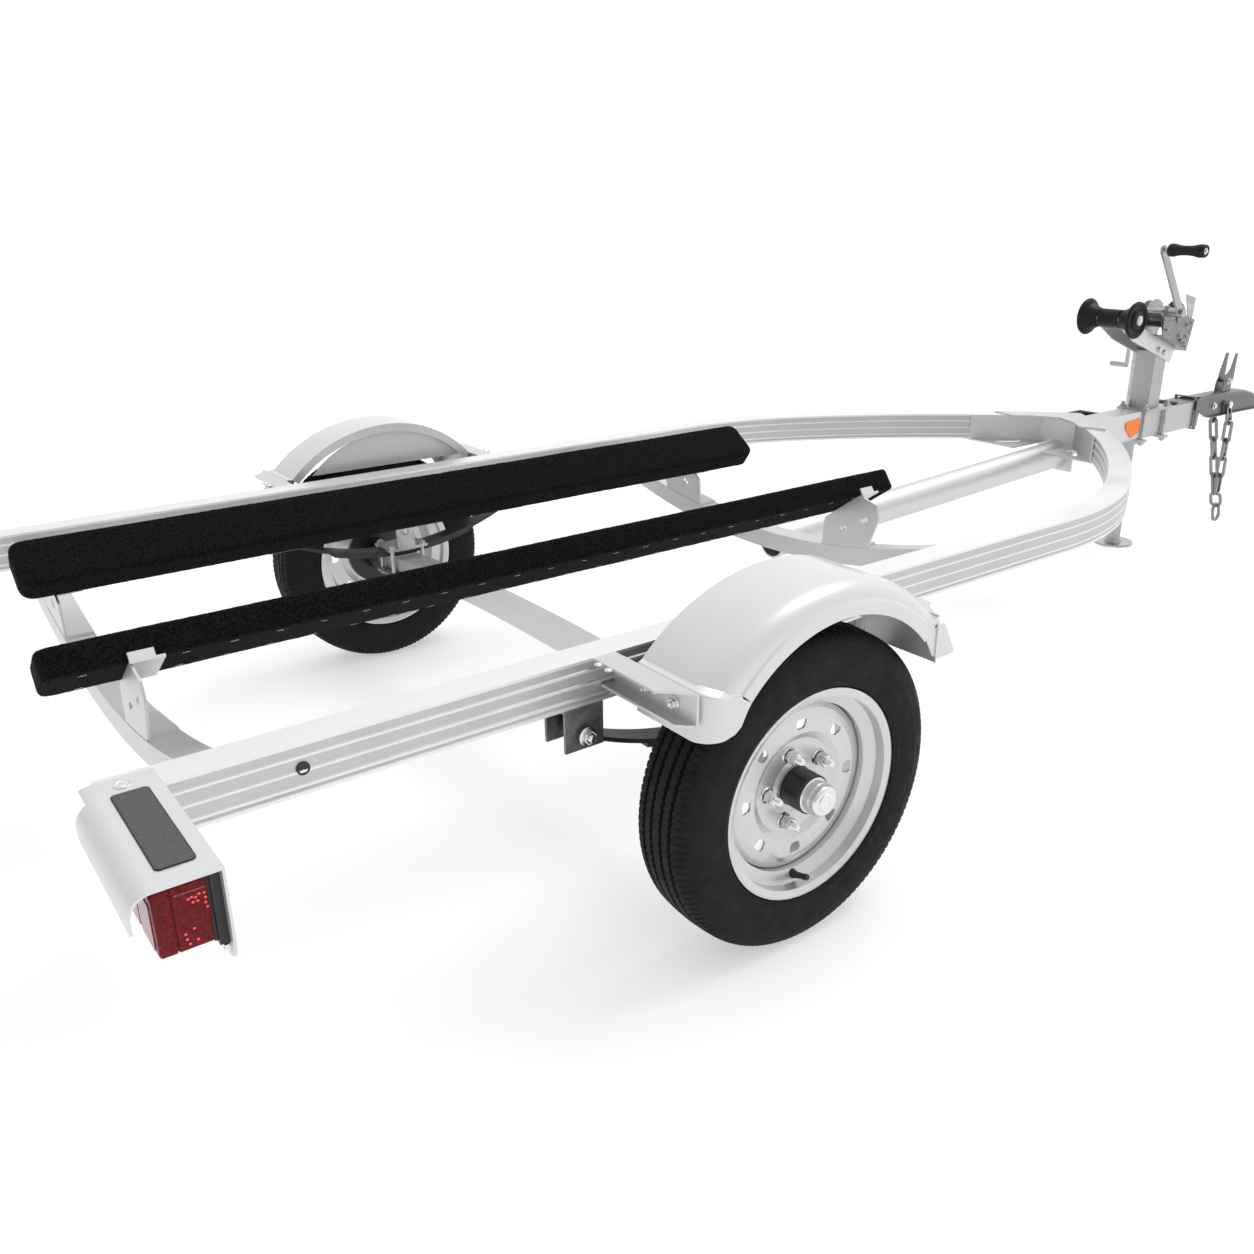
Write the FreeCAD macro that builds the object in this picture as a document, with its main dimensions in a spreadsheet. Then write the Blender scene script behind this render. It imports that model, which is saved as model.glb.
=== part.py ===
import FreeCAD, Part
import math
import os
import re

from FreeCAD import Vector, Rotation, Placement
import Sketcher

# Single-axle aluminium boat trailer, modelled in millimetres.
# +X points forward to the coupler, +Y to the left, +Z up; the ground is z = 0.

DOC = FreeCAD.newDocument("BoatTrailer")
SHEET = DOC.addObject("Spreadsheet::Sheet", "Sizes")

SIZES = [
    ("axle_x", -966, "wheel axis, from the middle of the overall length"),
    ("wheel_y", 724, "wheel centre plane from the middle"),
    ("tyre_rad", 254, "outer radius of the tyre, 4.80-12"),
    ("tyre_half", 60, "half the tyre's section width"),
    ("rim_lip", 168, "radius of the rim's flange lip"),
    ("rim_seat", 158, "radius of the bead seat"),
    ("rim_well", 140, "radius of the rim's drop centre"),
    ("rim_half", 56, "half width over the rim flanges"),
    ("disc_edge", 122, "radius of the shoulder of the wheel disc"),
    ("disc_out", 20, "disc shoulder outboard of the centre plane"),
    ("disc_seat", 10, "lug seat of the disc outboard of the centre plane"),
    ("sheet_rim", 4, "thickness of the wheel's steel"),
    ("lug_circle", 57.15, "radius of the five-stud circle"),
    ("hub_rad", 31, "radius of the hub barrel"),
    ("hub_out", 52, "outer end of the hub barrel"),
    ("cap_rad", 25, "radius of the grease cap"),
    ("cap_out", 82, "outer end of the grease cap"),
    ("spindle_rad", 15, "spindle radius"),
    ("fit", 0.05, "radial clearance of a running fit"),
    ("rail_y", 608, "outer face of the side rails"),
    ("rail_top", 487, "top of the side rails"),
    ("rail_tall", 68, "height of the rail section"),
    ("rail_wide", 50, "width of the rail section"),
    ("rail_wall", 3, "wall of the rail section"),
    ("rib_out", 2, "how far the ribs and lips stand out"),
    ("rail_back", 908, "rear end of the rails behind the axle"),
    ("bend_start", 860, "where the rails begin to curve in"),
    ("bend_mid", 1189, "where the tight curve ends"),
    ("bend_end", 1768, "front end of the rails"),
    ("bend_tight", 750, "radius of the first curve"),
    ("bend_wide", 1900, "radius of the second curve"),
    ("cross_rad", 1690, "radius of the dip of a crossmember's top"),
    ("cross_low", 376, "top of a crossmember at the middle"),
    ("cross_tall", 38, "height of a crossmember"),
    ("cross_long", 48, "length of a crossmember's flanges"),
    ("cross_wall", 4, "thickness of a crossmember's walls"),
    ("cross_back", 800, "web of the rear crossmember behind the axle"),
    ("cross_fore", 600, "web of the front crossmember ahead of the axle"),
    ("axle_rad", 6680, "radius of the arch of the axle beam"),
    ("axle_top", 312, "top of the axle beam at the middle"),
    ("axle_tall", 30, "height of the axle beam"),
    ("axle_long", 60, "width of the axle beam along the trailer"),
    ("axle_end", 632, "end of the axle beam"),
    ("pad_top", 292, "top of the spring seat on the axle"),
    ("spring_y", 583, "middle of the springs"),
    ("spring_half", 290, "axle to the spring eyes"),
    ("spring_wide", 40, "width of the leaves"),
    ("leaf", 7, "thickness of a leaf"),
    ("leaf_rad", 640, "radius of the spring's sag"),
    ("eye_z", 376, "height of the spring eyes"),
    ("eye_rad", 15, "outer radius of a spring eye"),
    ("bolt_rad", 7, "radius of the spring bolts"),
    ("bunk_y", 245, "middle of a bunk"),
    ("bunk_z", 504, "height of the middle of a bunk"),
    ("bunk_wide", 100, "width of a carpeted bunk"),
    ("bunk_thick", 46, "thickness of a carpeted bunk"),
    ("bunk_long", 1615, "length of a bunk"),
    ("bunk_tilt", 35, "slope of a bunk across the trailer, degrees"),
    ("bunk_back_right", 905, "rear end of the right bunk behind the axle"),
    ("bunk_back_left", 850, "rear end of the left bunk behind the axle"),
    ("bracket", 4, "thickness of bracket plate"),
    ("fender_rad", 280, "outer radius of the fender"),
    ("fender_fore", 20, "centre of the fender's arch ahead of the axle"),
    ("fender_mid", 304, "height of the centre of the fender's arch"),
    ("fender_in", 650, "inner face of the fender"),
    ("fender_out", 802, "outer face of the fender's skirt"),
    ("fender_lip", 3, "how far the skirt stands out of the shoulder"),
    ("fender_round", 33, "radius of the fender's shoulder"),
    ("fender_skirt", 222, "radius of the skirt's lower edge"),
    ("flap_low", 418, "lower edge of the fender's end flaps"),
    ("flap_back", 276, "rear end of the rear flap behind the axle"),
    ("flap_fore", 273, "front end of the front flap ahead of the axle"),
    ("fender_sheet", 2.5, "thickness of the fender"),
    ("arm_far", 272, "far edge of the fender arms' top from the axle"),
    ("arm_near", 234, "near face of the fender arms from the axle"),
    ("arm_low", 440, "underside of the fender arms"),
    ("arm_end", 790, "outer end of the fender arms"),
    ("lamp_back", 936, "rear edge of the lamp guards behind the axle"),
    ("lamp_front", 844, "front plate of the lamp guards behind the axle"),
    ("lamp_in", 571, "inner edge of the lamp guards"),
    ("lamp_out", 817, "outer edge of the lamp guards"),
    ("lamp_low", 378, "lower edge of the lamp guards' front plate"),
    ("lens_low", 402, "underside of the lamp"),
    ("lens_top", 478, "top of the lamp"),
    ("lens_in", 632, "inner end of the lamp"),
    ("lens_out", 802, "outer end of the lamp"),
    ("guard_sheet", 3, "thickness of the lamp guards"),
    ("tongue_half", 30, "half the width of the tongue beam"),
    ("tongue_low", 385, "underside of the tongue beam"),
    ("tongue_tall", 81, "height of the tongue beam"),
    ("tongue_back", 1740, "rear end of the tongue beam"),
    ("tongue_front", 2450, "front end of the tongue beam"),
    ("tube_rad", 38, "radius of the centre tube"),
    ("tube_z_back", 335, "height of the centre tube's axis at the rear"),
    ("tube_z_front", 388, "height of the centre tube's axis at the front"),
    ("post_back", 2137, "rear face of the bow post"),
    ("post_wide", 60, "width of the bow post"),
    ("post_top", 640, "top of the bow post"),
    ("arm_tilt", 20, "slope of the winch arm, degrees"),
    ("head_z", 665, "top of the winch arm above the bow post"),
    ("head_half", 34, "half the width of the winch arm"),
    ("head_tall", 44, "height of the winch arm's sides"),
    ("head_fore", 66, "front end of the winch arm ahead of the post"),
    ("head_back", 165, "where the winch arm narrows to the roller's ears"),
    ("roller_u", -254, "bow roller's axis, along the winch arm from the post"),
    ("roller_v", -7, "bow roller's axis above the winch arm's top"),
    ("roller_rad", 50, "radius of the bow roller's outer ends"),
    ("roller_waist", 27, "radius of the bow roller beside the ears"),
    ("roller_end", 80, "outer ends of the bow roller from the middle"),
    ("roller_pin", 8, "radius of the bow roller's pin"),
    ("winch_in", 53.5, "inner face of the winch frame's right plate"),
    ("winch_far", 43.5, "inner face of the winch frame's left plate"),
    ("winch_sheet", 3.5, "thickness of the winch frame"),
    ("winch_tall", 84, "height of the winch frame"),
    ("reel_u", -14, "winch drum's axis, along the arm from the post"),
    ("reel_v", 64, "winch drum's axis above the arm"),
    ("reel_rad", 47, "radius of the winch drum's flanges"),
    ("reel_core", 19, "radius of the winch drum's barrel"),
    ("reel_pin", 8, "radius of the winch drum's shaft"),
    ("mesh_angle", 2.3, "slope of the line from the drum to the crank, degrees"),
    ("gear_rad", 46, "pitch radius of the winch gear"),
    ("gear_teeth", 23, "teeth of the winch gear"),
    ("gear_thick", 7, "thickness of the winch gear"),
    ("pinion_rad", 16, "pitch radius of the winch pinion"),
    ("pinion_teeth", 8, "teeth of the winch pinion"),
    ("tooth_out", 3.2, "height of a gear tooth beyond the pitch circle"),
    ("tooth_deep", 4, "depth of the gaps between teeth below the pitch circle"),
    ("tooth_root", 5.6, "width of a tooth at its root"),
    ("tooth_tip", 2.4, "width of a tooth at its tip"),
    ("crank_pin", 8, "radius of the crank's shaft"),
    ("crank_reach", 225, "length of the crank"),
    ("crank_lean", 39, "lean of the crank to the rear, degrees"),
    ("crank_wide", 24, "width of the crank's bar"),
    ("crank_thick", 6, "thickness of the crank's bar"),
    ("crank_out", 94, "outer face of the crank's bar from the middle"),
    ("grip_rad", 18, "radius of the crank's grip"),
    ("grip_long", 128, "length of the crank's grip"),
    ("coupler_rear", 2425, "rear edge of the coupler's sleeve"),
    ("coupler_half", 34, "half the width of the coupler's sleeve"),
    ("coupler_sheet", 4, "thickness of the coupler"),
    ("coupler_low", 393, "underside of the coupler"),
    ("ball_x", 2818, "centre of the ball socket ahead of the axle"),
    ("ball_rad", 25.4, "radius of the hitch ball"),
    ("ball_z", 417, "centre of the hitch ball"),
    ("socket_out", 46, "outer radius of the coupler's nose"),
    ("latch_x", 2634, "pivot of the coupler's latch"),
    ("latch_z", 503, "height of the latch's pivot"),
    ("latch_tall", 86, "height of the latch above its pivot"),
    ("chain_x", 2600, "chain bolt ahead of the axle"),
    ("chain_z", 436, "height of the chain bolt"),
    ("chain_pin", 6, "radius of the chain bolt"),
    ("chain_side", -45, "outer strand of the chain from the middle"),
    ("chain_inner", 5, "inner strand of the chain from the middle"),
    ("chain_lean", 20.7, "forward lean of the chain, degrees"),
    ("chain_links", 5, "links in a strand"),
    ("link_long", 86.5, "outer length of a chain link"),
    ("link_wide", 28, "outer width of a chain link"),
    ("link_wire", 7.5, "thickness of the chain's wire"),
    ("join_long", 60, "outer length of the joining link"),
    ("join_wide", 40, "outer width of the joining link"),
    ("ring_long", 68, "outer length of the end ring"),
    ("ring_wide", 45, "outer width of the end ring"),
    ("jack_x", 2293, "jack ahead of the axle"),
    ("jack_y", 100, "jack from the middle"),
    ("jack_rad", 25, "outer radius of the jack tube"),
    ("jack_low", 330, "lower end of the jack tube"),
    ("jack_top", 690, "top of the jack tube"),
    ("leg_rad", 20, "outer radius of the jack leg"),
    ("leg_top", 440, "top of the jack leg"),
    ("foot_rad", 60, "radius of the jack's foot"),
    ("foot_thick", 6, "thickness of the jack's foot"),
    ("gusset_back", 1600, "rear edge of the nose gusset"),
    ("gusset_front", 2103, "front end of the nose gusset"),
    ("gusset_sheet", 4, "thickness of the nose gusset"),
    ("gusset_low", 391, "lower edge of the gusset's sides"),
    ("post_plate", 8, "thickness of the post's base plate"),
    ("post_wall", 4, "wall of the bow post"),
    ("plate_back", 32, "base plate behind the post"),
    ("plate_fore", 48, "base plate ahead of the post"),
    ("plate_half", 48, "half the width of the post's base plate"),
    ("ubolt_rad", 5, "radius of the U-bolts' rod"),
    ("tongue_wall", 4, "wall of the tongue beam"),
    ("tube_wall", 4, "wall of the centre tube"),
    ("bunk_corner", 24, "corner radius of a bunk in plan"),
    ("bunk_round", 7, "edge radius of a bunk"),
    ("fender_step", 28, "depth of the flange round the fender's inner panel"),
    ("fender_sunk", 6, "how far the inner panel is sunk"),
    ("panel_low", 478, "lower edge of the fender's inner panel"),
    ("tab", 3, "thickness of the fender's end tabs"),
    ("arm_foot", 24, "width of a fender arm's lower flange"),
    ("guard_roll", 25, "radius of the lamp guard's rolled edge"),
    ("base_thick", 10, "thickness of the lamp's base"),
    ("lens_deep", 56, "depth of the lamp's lens"),
    ("reflex", 3, "thickness of the side reflectors"),
    ("coupler_round", 9, "radius of the coupler's top edges"),
    ("gap", 0.3, "clearance between pieces that don't touch"),
]

for row, (alias, value, note) in enumerate(SIZES, 1):
    SHEET.set("A%d" % row, note)
    SHEET.set("B%d" % row, str(value))
    SHEET.setAlias("B%d" % row, alias)
DOC.recompute()

ALIASES = set(alias for alias, value, note in SIZES)


def cell(expression):
    """An expression on the sheet's values, written with their bare names."""
    return re.sub(r"[a-z][a-z_]*", lambda m: "Sizes." + m.group(0)
                  if m.group(0) in ALIASES else m.group(0), str(expression))


def num(expression):
    """The number that an expression on the sheet comes to."""
    return float(SHEET.evalExpression(cell(expression)))


def bind(obj, **properties):
    """Tie properties to the sheet; two underscores stand for a dot."""
    for name, expression in properties.items():
        obj.setExpression(name.replace("__", "."), cell(expression))
    return obj


def at(obj, x, y, z):
    return bind(obj, Placement__Base__x=x, Placement__Base__y=y, Placement__Base__z=z)


AXES = {
    "x": Rotation(Vector(0, 1, 0), 90),
    "y": Rotation(Vector(1, 0, 0), -90),
    "z": Rotation(),
}
COUNT = [0]


def fresh(stem):
    COUNT[0] += 1
    return "%s_%d" % (stem, COUNT[0])


def box(x, y, z, dx, dy, dz):
    """A block from its lowest corner."""
    obj = DOC.addObject("Part::Box", fresh("Block"))
    bind(obj, Length=dx, Width=dy, Height=dz)
    return at(obj, x, y, z)


def rod(axis, x, y, z, radius, height):
    """A cylinder that runs along +axis from the given point."""
    obj = DOC.addObject("Part::Cylinder", fresh("Rod"))
    obj.Placement = Placement(Vector(), AXES[axis])
    bind(obj, Radius=radius, Height=height)
    return at(obj, x, y, z)


def cone(axis, x, y, z, radius1, radius2, height):
    obj = DOC.addObject("Part::Cone", fresh("Taper"))
    obj.Placement = Placement(Vector(), AXES[axis])
    bind(obj, Radius1=radius1, Radius2=radius2, Height=height)
    return at(obj, x, y, z)


def fuse(*shapes):
    if len(shapes) == 1:
        return shapes[0]
    obj = DOC.addObject("Part::MultiFuse", fresh("Join"))
    obj.Shapes = list(shapes)
    obj.Refine = True
    return obj


def cut(base, *tools):
    obj = DOC.addObject("Part::Cut", fresh("Cut"))
    obj.Base = base
    obj.Tool = fuse(*tools)
    obj.Refine = True
    return obj


def common(first, second):
    obj = DOC.addObject("Part::MultiCommon", fresh("Overlap"))
    obj.Shapes = [first, second]
    return obj


def mirror(source):
    """The same piece on the trailer's right side."""
    obj = DOC.addObject("Part::Mirroring", fresh("Mirror"))
    obj.Source = source
    obj.Normal = Vector(0, 1, 0)
    obj.Base = Vector(0, 0, 0)
    return obj


def group(*shapes):
    """Separate solids of one node, which don't touch."""
    obj = DOC.addObject("Part::Compound", fresh("Group"))
    obj.Links = list(shapes)
    return obj


NODES = {}


def node(name, obj):
    obj.Label = name
    NODES[name] = obj
    return obj


def body():
    return DOC.addObject("PartDesign::Body", fresh("Body"))


def sketch(owner, role, offset="0"):
    """A sketch on one of the body's own origin planes, moved along its normal."""
    sk = owner.newObject("Sketcher::SketchObject", fresh("Sketch"))
    plane = [f for f in owner.Origin.OriginFeatures if f.Role == role][0]
    sk.AttachmentSupport = [(plane, "")]
    sk.MapMode = "FlatFace"
    if offset != "0":
        bind(sk, AttachmentOffset__Base__z=offset)
    return sk


def pin(sk, geo, end, x, y, which="xy"):
    """Hold a point of a sketch at two sizes, or at one of them."""
    for letter, kind, axis, value in (("x", "DistanceX", -2, x), ("y", "DistanceY", -1, y)):
        if letter not in which:
            continue
        if str(value) == "0":
            sk.addConstraint(Sketcher.Constraint("PointOnObject", geo, end, axis))
        else:
            index = sk.addConstraint(
                Sketcher.Constraint(kind, -1, 1, geo, end, num(value)))
            sk.setExpression("Constraints[%d]" % index, cell(value))


def outline(sk, points):
    """A closed outline of straight edges through points given as sizes."""
    first = sk.GeometryCount
    spots = [Vector(num(x), num(y), 0) for x, y in points]
    count = len(points)
    for i in range(count):
        sk.addGeometry(Part.LineSegment(spots[i], spots[(i + 1) % count]), False)
    for i in range(count):
        sk.addConstraint(Sketcher.Constraint(
            "Coincident", first + i, 2, first + (i + 1) % count, 1))
    for i, (x, y) in enumerate(points):
        pin(sk, first + i, 1, x, y)


def circle(sk, x, y, radius):
    geo = sk.addGeometry(Part.Circle(Vector(num(x), num(y), 0), Vector(0, 0, 1),
                                     num(radius)), False)
    pin(sk, geo, 3, x, y)
    index = sk.addConstraint(Sketcher.Constraint("Radius", geo, num(radius)))
    sk.setExpression("Constraints[%d]" % index, cell(radius))
    return geo


def profile(sk, points):
    """A closed outline; a point with four values is reached by an arc, whose
    centre is the last two."""
    first = sk.GeometryCount
    spots = [Vector(num(p[0]), num(p[1]), 0) for p in points]
    count = len(points)
    ways = []
    for i in range(count):
        here, there, goal = spots[i], spots[(i + 1) % count], points[(i + 1) % count]
        if len(goal) == 2:
            sk.addGeometry(Part.LineSegment(here, there), False)
            ways.append((1, 2))
            continue
        middle = Vector(num(goal[2]), num(goal[3]), 0)
        a, b = [math.atan2(v.y - middle.y, v.x - middle.x) for v in (here, there)]
        forward = (b - a) % (2 * math.pi) <= math.pi
        low, high = (a, b) if forward else (b, a)
        if high < low:
            high += 2 * math.pi
        sk.addGeometry(Part.ArcOfCircle(Part.Circle(
            middle, Vector(0, 0, 1), (here - middle).Length), low, high), False)
        ways.append((1, 2) if forward else (2, 1))
    for i in range(count):
        j = (i + 1) % count
        sk.addConstraint(Sketcher.Constraint(
            "Coincident", first + i, ways[i][1], first + j, ways[j][0]))
    for i, goal in enumerate(points):
        if len(goal) == 2:
            pin(sk, first + i, ways[i][0], goal[0], goal[1])
            continue
        arc = first + (i - 1) % count
        pin(sk, arc, 3, goal[2], goal[3])
        reach = spots[i] - Vector(num(goal[2]), num(goal[3]), 0)
        which = "y" if abs(reach.x) > abs(reach.y) else "x"
        pin(sk, first + i, ways[i][0], goal[0], goal[1], which)


def pad(owner, sk, length, back=False):
    obj = owner.newObject("PartDesign::Pad", fresh("Pad"))
    obj.Profile = sk
    obj.Reversed = back
    bind(obj, Length=length)
    sk.Visibility = False
    return obj


def pocket(owner, sk, length, back=False):
    obj = owner.newObject("PartDesign::Pocket", fresh("Pocket"))
    obj.Profile = sk
    obj.Reversed = back
    bind(obj, Length=length)
    return obj


def turn(owner, sk, axis="H_Axis", angle=None):
    obj = owner.newObject("PartDesign::Revolution", fresh("Turned"))
    obj.Profile = sk
    obj.ReferenceAxis = (sk, [axis])
    if angle is None:
        obj.Angle = 360
    else:
        bind(obj, Angle=angle)
    return obj


def prism(role, offset, points, length, back=False):
    """A body padded from one outline."""
    owner = body()
    sk = sketch(owner, role, offset)
    outline(sk, points)
    pad(owner, sk, length, back)
    return owner


# Side rails.
def rail_section():
    """The ribbed box section, seen along the trailer; the outer face is at rail_y."""
    proud, flush = "rail_y", "rail_y-rib_out"
    steps = [(0, 4.5, 0), (5.5, 15, 1), (17, 20, 0), (21, 34, 1), (36, 39, 0),
             (40, 53, 1), (55, 58, 0), (59, 61, 1), (63, 68, 0)]
    outer, inner = [], []
    for top, low, sunk in steps:
        face = flush if sunk else proud
        back = "rail_y-rail_wide+rib_out" if sunk else "rail_y-rail_wide"
        for depth in (top, low):
            level = "rail_top" if depth == 0 else "rail_top-rail_tall*%g/68" % depth
            outer.append((face, level))
            inner.append((back, level))
    return outer + inner[::-1]


def rail():
    owner = body()
    section = sketch(owner, "YZ_Plane", "axle_x-rail_back")
    outline(section, rail_section())
    inset = "rail_wall+rib_out"
    outline(section, [
        ("rail_y-rail_wall-rib_out", "rail_top-rail_wall"),
        ("rail_y-rail_wide+%s" % inset, "rail_top-rail_wall"),
        ("rail_y-rail_wide+%s" % inset, "rail_top-rail_tall+rail_wall"),
        ("rail_y-rail_wall-rib_out", "rail_top-rail_tall+rail_wall")])
    path = sketch(owner, "XY_Plane", "rail_top")
    x0, x1 = num("axle_x-rail_back"), num("axle_x+bend_start")
    x2, x3 = num("axle_x+bend_mid"), num("axle_x+bend_end")
    y0, r1, r2 = num("rail_y"), num("bend_tight"), num("bend_wide")
    a1 = math.asin((x2 - x1) / r1)
    a2 = math.asin(math.sin(a1) + (x3 - x2) / r2)
    c1 = Vector(x1, y0 - r1, 0)
    p2 = c1 + Vector(r1 * math.sin(a1), r1 * math.cos(a1), 0)
    c2 = p2 - Vector(r2 * math.sin(a1), r2 * math.cos(a1), 0)
    up = Vector(0, 0, 1)
    path.addGeometry(Part.LineSegment(Vector(x0, y0, 0), Vector(x1, y0, 0)), False)
    half = math.pi / 2
    path.addGeometry(Part.ArcOfCircle(Part.Circle(c1, up, r1), half - a1, half), False)
    path.addGeometry(Part.ArcOfCircle(Part.Circle(c2, up, r2), half - a2, half - a1), False)
    pin(path, 0, 1, "axle_x-rail_back", "rail_y")
    pin(path, 0, 2, "axle_x+bend_start", "rail_y")
    path.addConstraint(Sketcher.Constraint("Tangent", 0, 2, 1, 2))
    path.addConstraint(Sketcher.Constraint("Tangent", 1, 1, 2, 2))
    for geo, name, radius in ((1, "bend_mid", "bend_tight"), (2, "bend_end", "bend_wide")):
        index = path.addConstraint(Sketcher.Constraint("Radius", geo, num(radius)))
        path.setExpression("Constraints[%d]" % index, cell(radius))
        index = path.addConstraint(Sketcher.Constraint(
            "DistanceX", -1, 1, geo, 1, num("axle_x+" + name)))
        path.setExpression("Constraints[%d]" % index, cell("axle_x+" + name))
    sweep = owner.newObject("PartDesign::AdditivePipe", fresh("Sweep"))
    sweep.Profile = section
    sweep.Spine = (path, ["Edge1", "Edge2", "Edge3"])
    return owner


node("rail_left", rail())
node("rail_right", mirror(NODES["rail_left"]))


# Crossmembers and axle beam.
def bow(x, length, inner, thick, crown, half, rise=1):
    """A beam across the trailer, curved to a circle.  rise 1 dips in the middle,
    rise -1 arches up; crown is the height of the top at the middle."""
    if rise > 0:
        centre = "(%s)+(%s)" % (crown, inner)
        outer = "(%s)+(%s)" % (inner, thick)
        ring = cut(rod("x", x, "0", centre, outer, length),
                   rod("x", "(%s)-1" % x, "0", centre, inner, "(%s)+2" % length))
    else:
        centre = "(%s)-(%s)" % (crown, inner)
        small = "(%s)-(%s)" % (inner, thick)
        ring = cut(rod("x", x, "0", centre, inner, length),
                   rod("x", "(%s)-1" % x, "0", centre, small, "(%s)+2" % length))
    keep = box("(%s)-1" % x, "-(%s)" % half, "(%s)-250" % crown,
               "(%s)+2" % length, "2*(%s)" % half, "500")
    return common(ring, keep)


def channel(name, web):
    """A dipped channel: web at the rear, flanges forward."""
    half = "rail_y-rail_wide"
    whole = bow(web, "cross_long", "cross_rad", "cross_tall", "cross_low", half)
    hollow = bow("(%s)+cross_wall" % web, "cross_long", "cross_rad+cross_wall",
                 "cross_tall-2*cross_wall", "cross_low-cross_wall",
                 "(%s)+5" % half)
    return node(name, cut(whole, hollow))


channel("crossmember_rear", "axle_x-cross_back")
channel("crossmember_front", "axle_x+cross_fore")

beam = bow("axle_x-axle_long/2", "axle_long", "axle_rad", "axle_tall", "axle_top",
           "axle_end", -1)
ends = []
for side in (1, -1):
    low = "spring_y-26" if side > 0 else "-spring_y-26"
    ends.append(box("axle_x-axle_long/2", low, "pad_top-22", "axle_long", "52", "22"))
    inner = "axle_end-14" if side > 0 else "-axle_end-14"
    ends.append(box("axle_x-22", inner, "tyre_rad-24", "44", "28", "48"))
    start = "axle_end" if side > 0 else "-(wheel_y+hub_out-8)"
    ends.append(rod("y", "axle_x", start, "tyre_rad", "spindle_rad",
                    "wheel_y+hub_out-8-axle_end"))
node("axle_beam", fuse(beam, *ends))


# Wheels.
def stand(obj, side):
    """Put a wheel piece on its spindle, turned round on the right side."""
    if side < 0:
        obj.Placement = Placement(Vector(), Rotation(Vector(0, 0, 1), 180))
    return at(obj, "axle_x", "wheel_y" if side > 0 else "-wheel_y", "tyre_rad")


def tyre():
    owner = body()
    sk = sketch(owner, "YZ_Plane")
    half = [("rim_half-10.3", "rim_seat"), ("rim_half-6", "rim_lip+0.5"),
            ("rim_half", "rim_lip+2"), ("tyre_half-2", "rim_seat+18"),
            ("tyre_half", "rim_seat+38"), ("tyre_half-0.5", "tyre_rad-36"),
            ("tyre_half-4", "tyre_rad-20"), ("tyre_half-10", "tyre_rad-9"),
            ("tyre_half-19", "tyre_rad-3.5"), ("tyre_half-34", "tyre_rad-0.8")]
    other = [("-(%s)" % y, r) for y, r in half[::-1]]
    outline(sk, half + [("0", "tyre_rad")] + other)
    turn(owner, sk)
    return owner


def rim():
    owner = body()
    sk = sketch(owner, "YZ_Plane")
    side = [("rim_half", "rim_lip-4"), ("rim_half-1", "rim_lip"), ("rim_half-5", "rim_lip"),
            ("rim_half-9", "rim_seat+1"), ("rim_half-10", "rim_seat"), ("34", "rim_seat"),
            ("24", "rim_well"), ("-24", "rim_well"), ("-34", "rim_seat"),
            ("-rim_half+10", "rim_seat"), ("-rim_half+9", "rim_seat+1"),
            ("-rim_half+5", "rim_lip"), ("-rim_half+1", "rim_lip"), ("-rim_half", "rim_lip-4"),
            ("-rim_half+4", "rim_seat-3"), ("-36", "rim_seat-4"),
            ("-26", "rim_well-4"), ("26", "rim_well-4"), ("36", "rim_seat-4"),
            ("rim_half-4", "rim_seat-3")]
    outline(sk, side)
    turn(owner, sk)
    dish = sketch(owner, "YZ_Plane")
    outline(dish, [
        ("6", "rim_well-4"), ("10", "rim_well-4"), ("16", "rim_well-6"),
        ("disc_out", "disc_edge+4"), ("disc_out+2", "disc_edge-6"),
        ("disc_out+1", "disc_edge-34"), ("disc_seat+4", "disc_edge-46"),
        ("disc_seat+4", "hub_rad+14"), ("disc_seat+6", "hub_rad+6"),
        ("disc_seat+6", "hub_rad+1"), ("disc_seat+2", "hub_rad+1"),
        ("disc_seat", "hub_rad+12"), ("disc_seat", "disc_edge-45"),
        ("disc_out-3", "disc_edge-32"), ("disc_out-2", "disc_edge-8"),
        ("disc_out-4", "disc_edge+1"), ("12", "rim_well-11"), ("6", "rim_well-10")])
    turn(owner, dish)
    holes = sketch(owner, "XZ_Plane", "-40")
    outline(holes, [("-5", "disc_edge-26.5"), ("5", "disc_edge-26.5"),
                    ("8.5", "disc_edge-24"), ("11", "disc_edge-14"),
                    ("8.5", "disc_edge-10"), ("-8.5", "disc_edge-10"),
                    ("-11", "disc_edge-14"), ("-8.5", "disc_edge-24")])
    window = pocket(owner, holes, "40", back=True)
    spread = owner.newObject("PartDesign::PolarPattern", fresh("Windows"))
    spread.Originals = [window]
    spread.Axis = (holes, ["N_Axis"])
    spread.Angle = 360
    spread.Occurrences = 8
    owner.Tip = spread
    return owner


def hub():
    owner = body()
    sk = sketch(owner, "YZ_Plane")
    bore = "spindle_rad+fit"
    outline(sk, [("-30", bore), ("-30", "34"), ("disc_seat-8", "38"),
                 ("disc_seat-8", "72"), ("disc_seat", "72"), ("disc_seat", "hub_rad"),
                 ("hub_out", "hub_rad"), ("hub_out", "0"), ("hub_out-7", "0"),
                 ("hub_out-7", bore)])
    turn(owner, sk)
    return owner


def nuts():
    cap = body()
    sk = sketch(cap, "YZ_Plane")
    outline(sk, [("hub_out", "0"), ("hub_out", "cap_rad+2"), ("hub_out+4", "cap_rad+2"),
                 ("hub_out+5", "cap_rad"), ("cap_out-4", "cap_rad"), ("cap_out", "cap_rad-4"),
                 ("cap_out", "0")])
    turn(cap, sk)
    pieces = [cap]
    for i in range(5):
        angle = math.radians(72 * i + 16)
        x = "lug_circle*%.6f" % math.sin(angle)
        z = "lug_circle*%.6f" % math.cos(angle)
        pieces.append(fuse(
            cone("y", x, "disc_seat+4", z, "8.5", "11", "4"),
            rod("y", x, "disc_seat+8", z, "10.5", "13"),
            rod("y", x, "disc_seat+21", z, "6", "9")))
    return group(*pieces)


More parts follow.
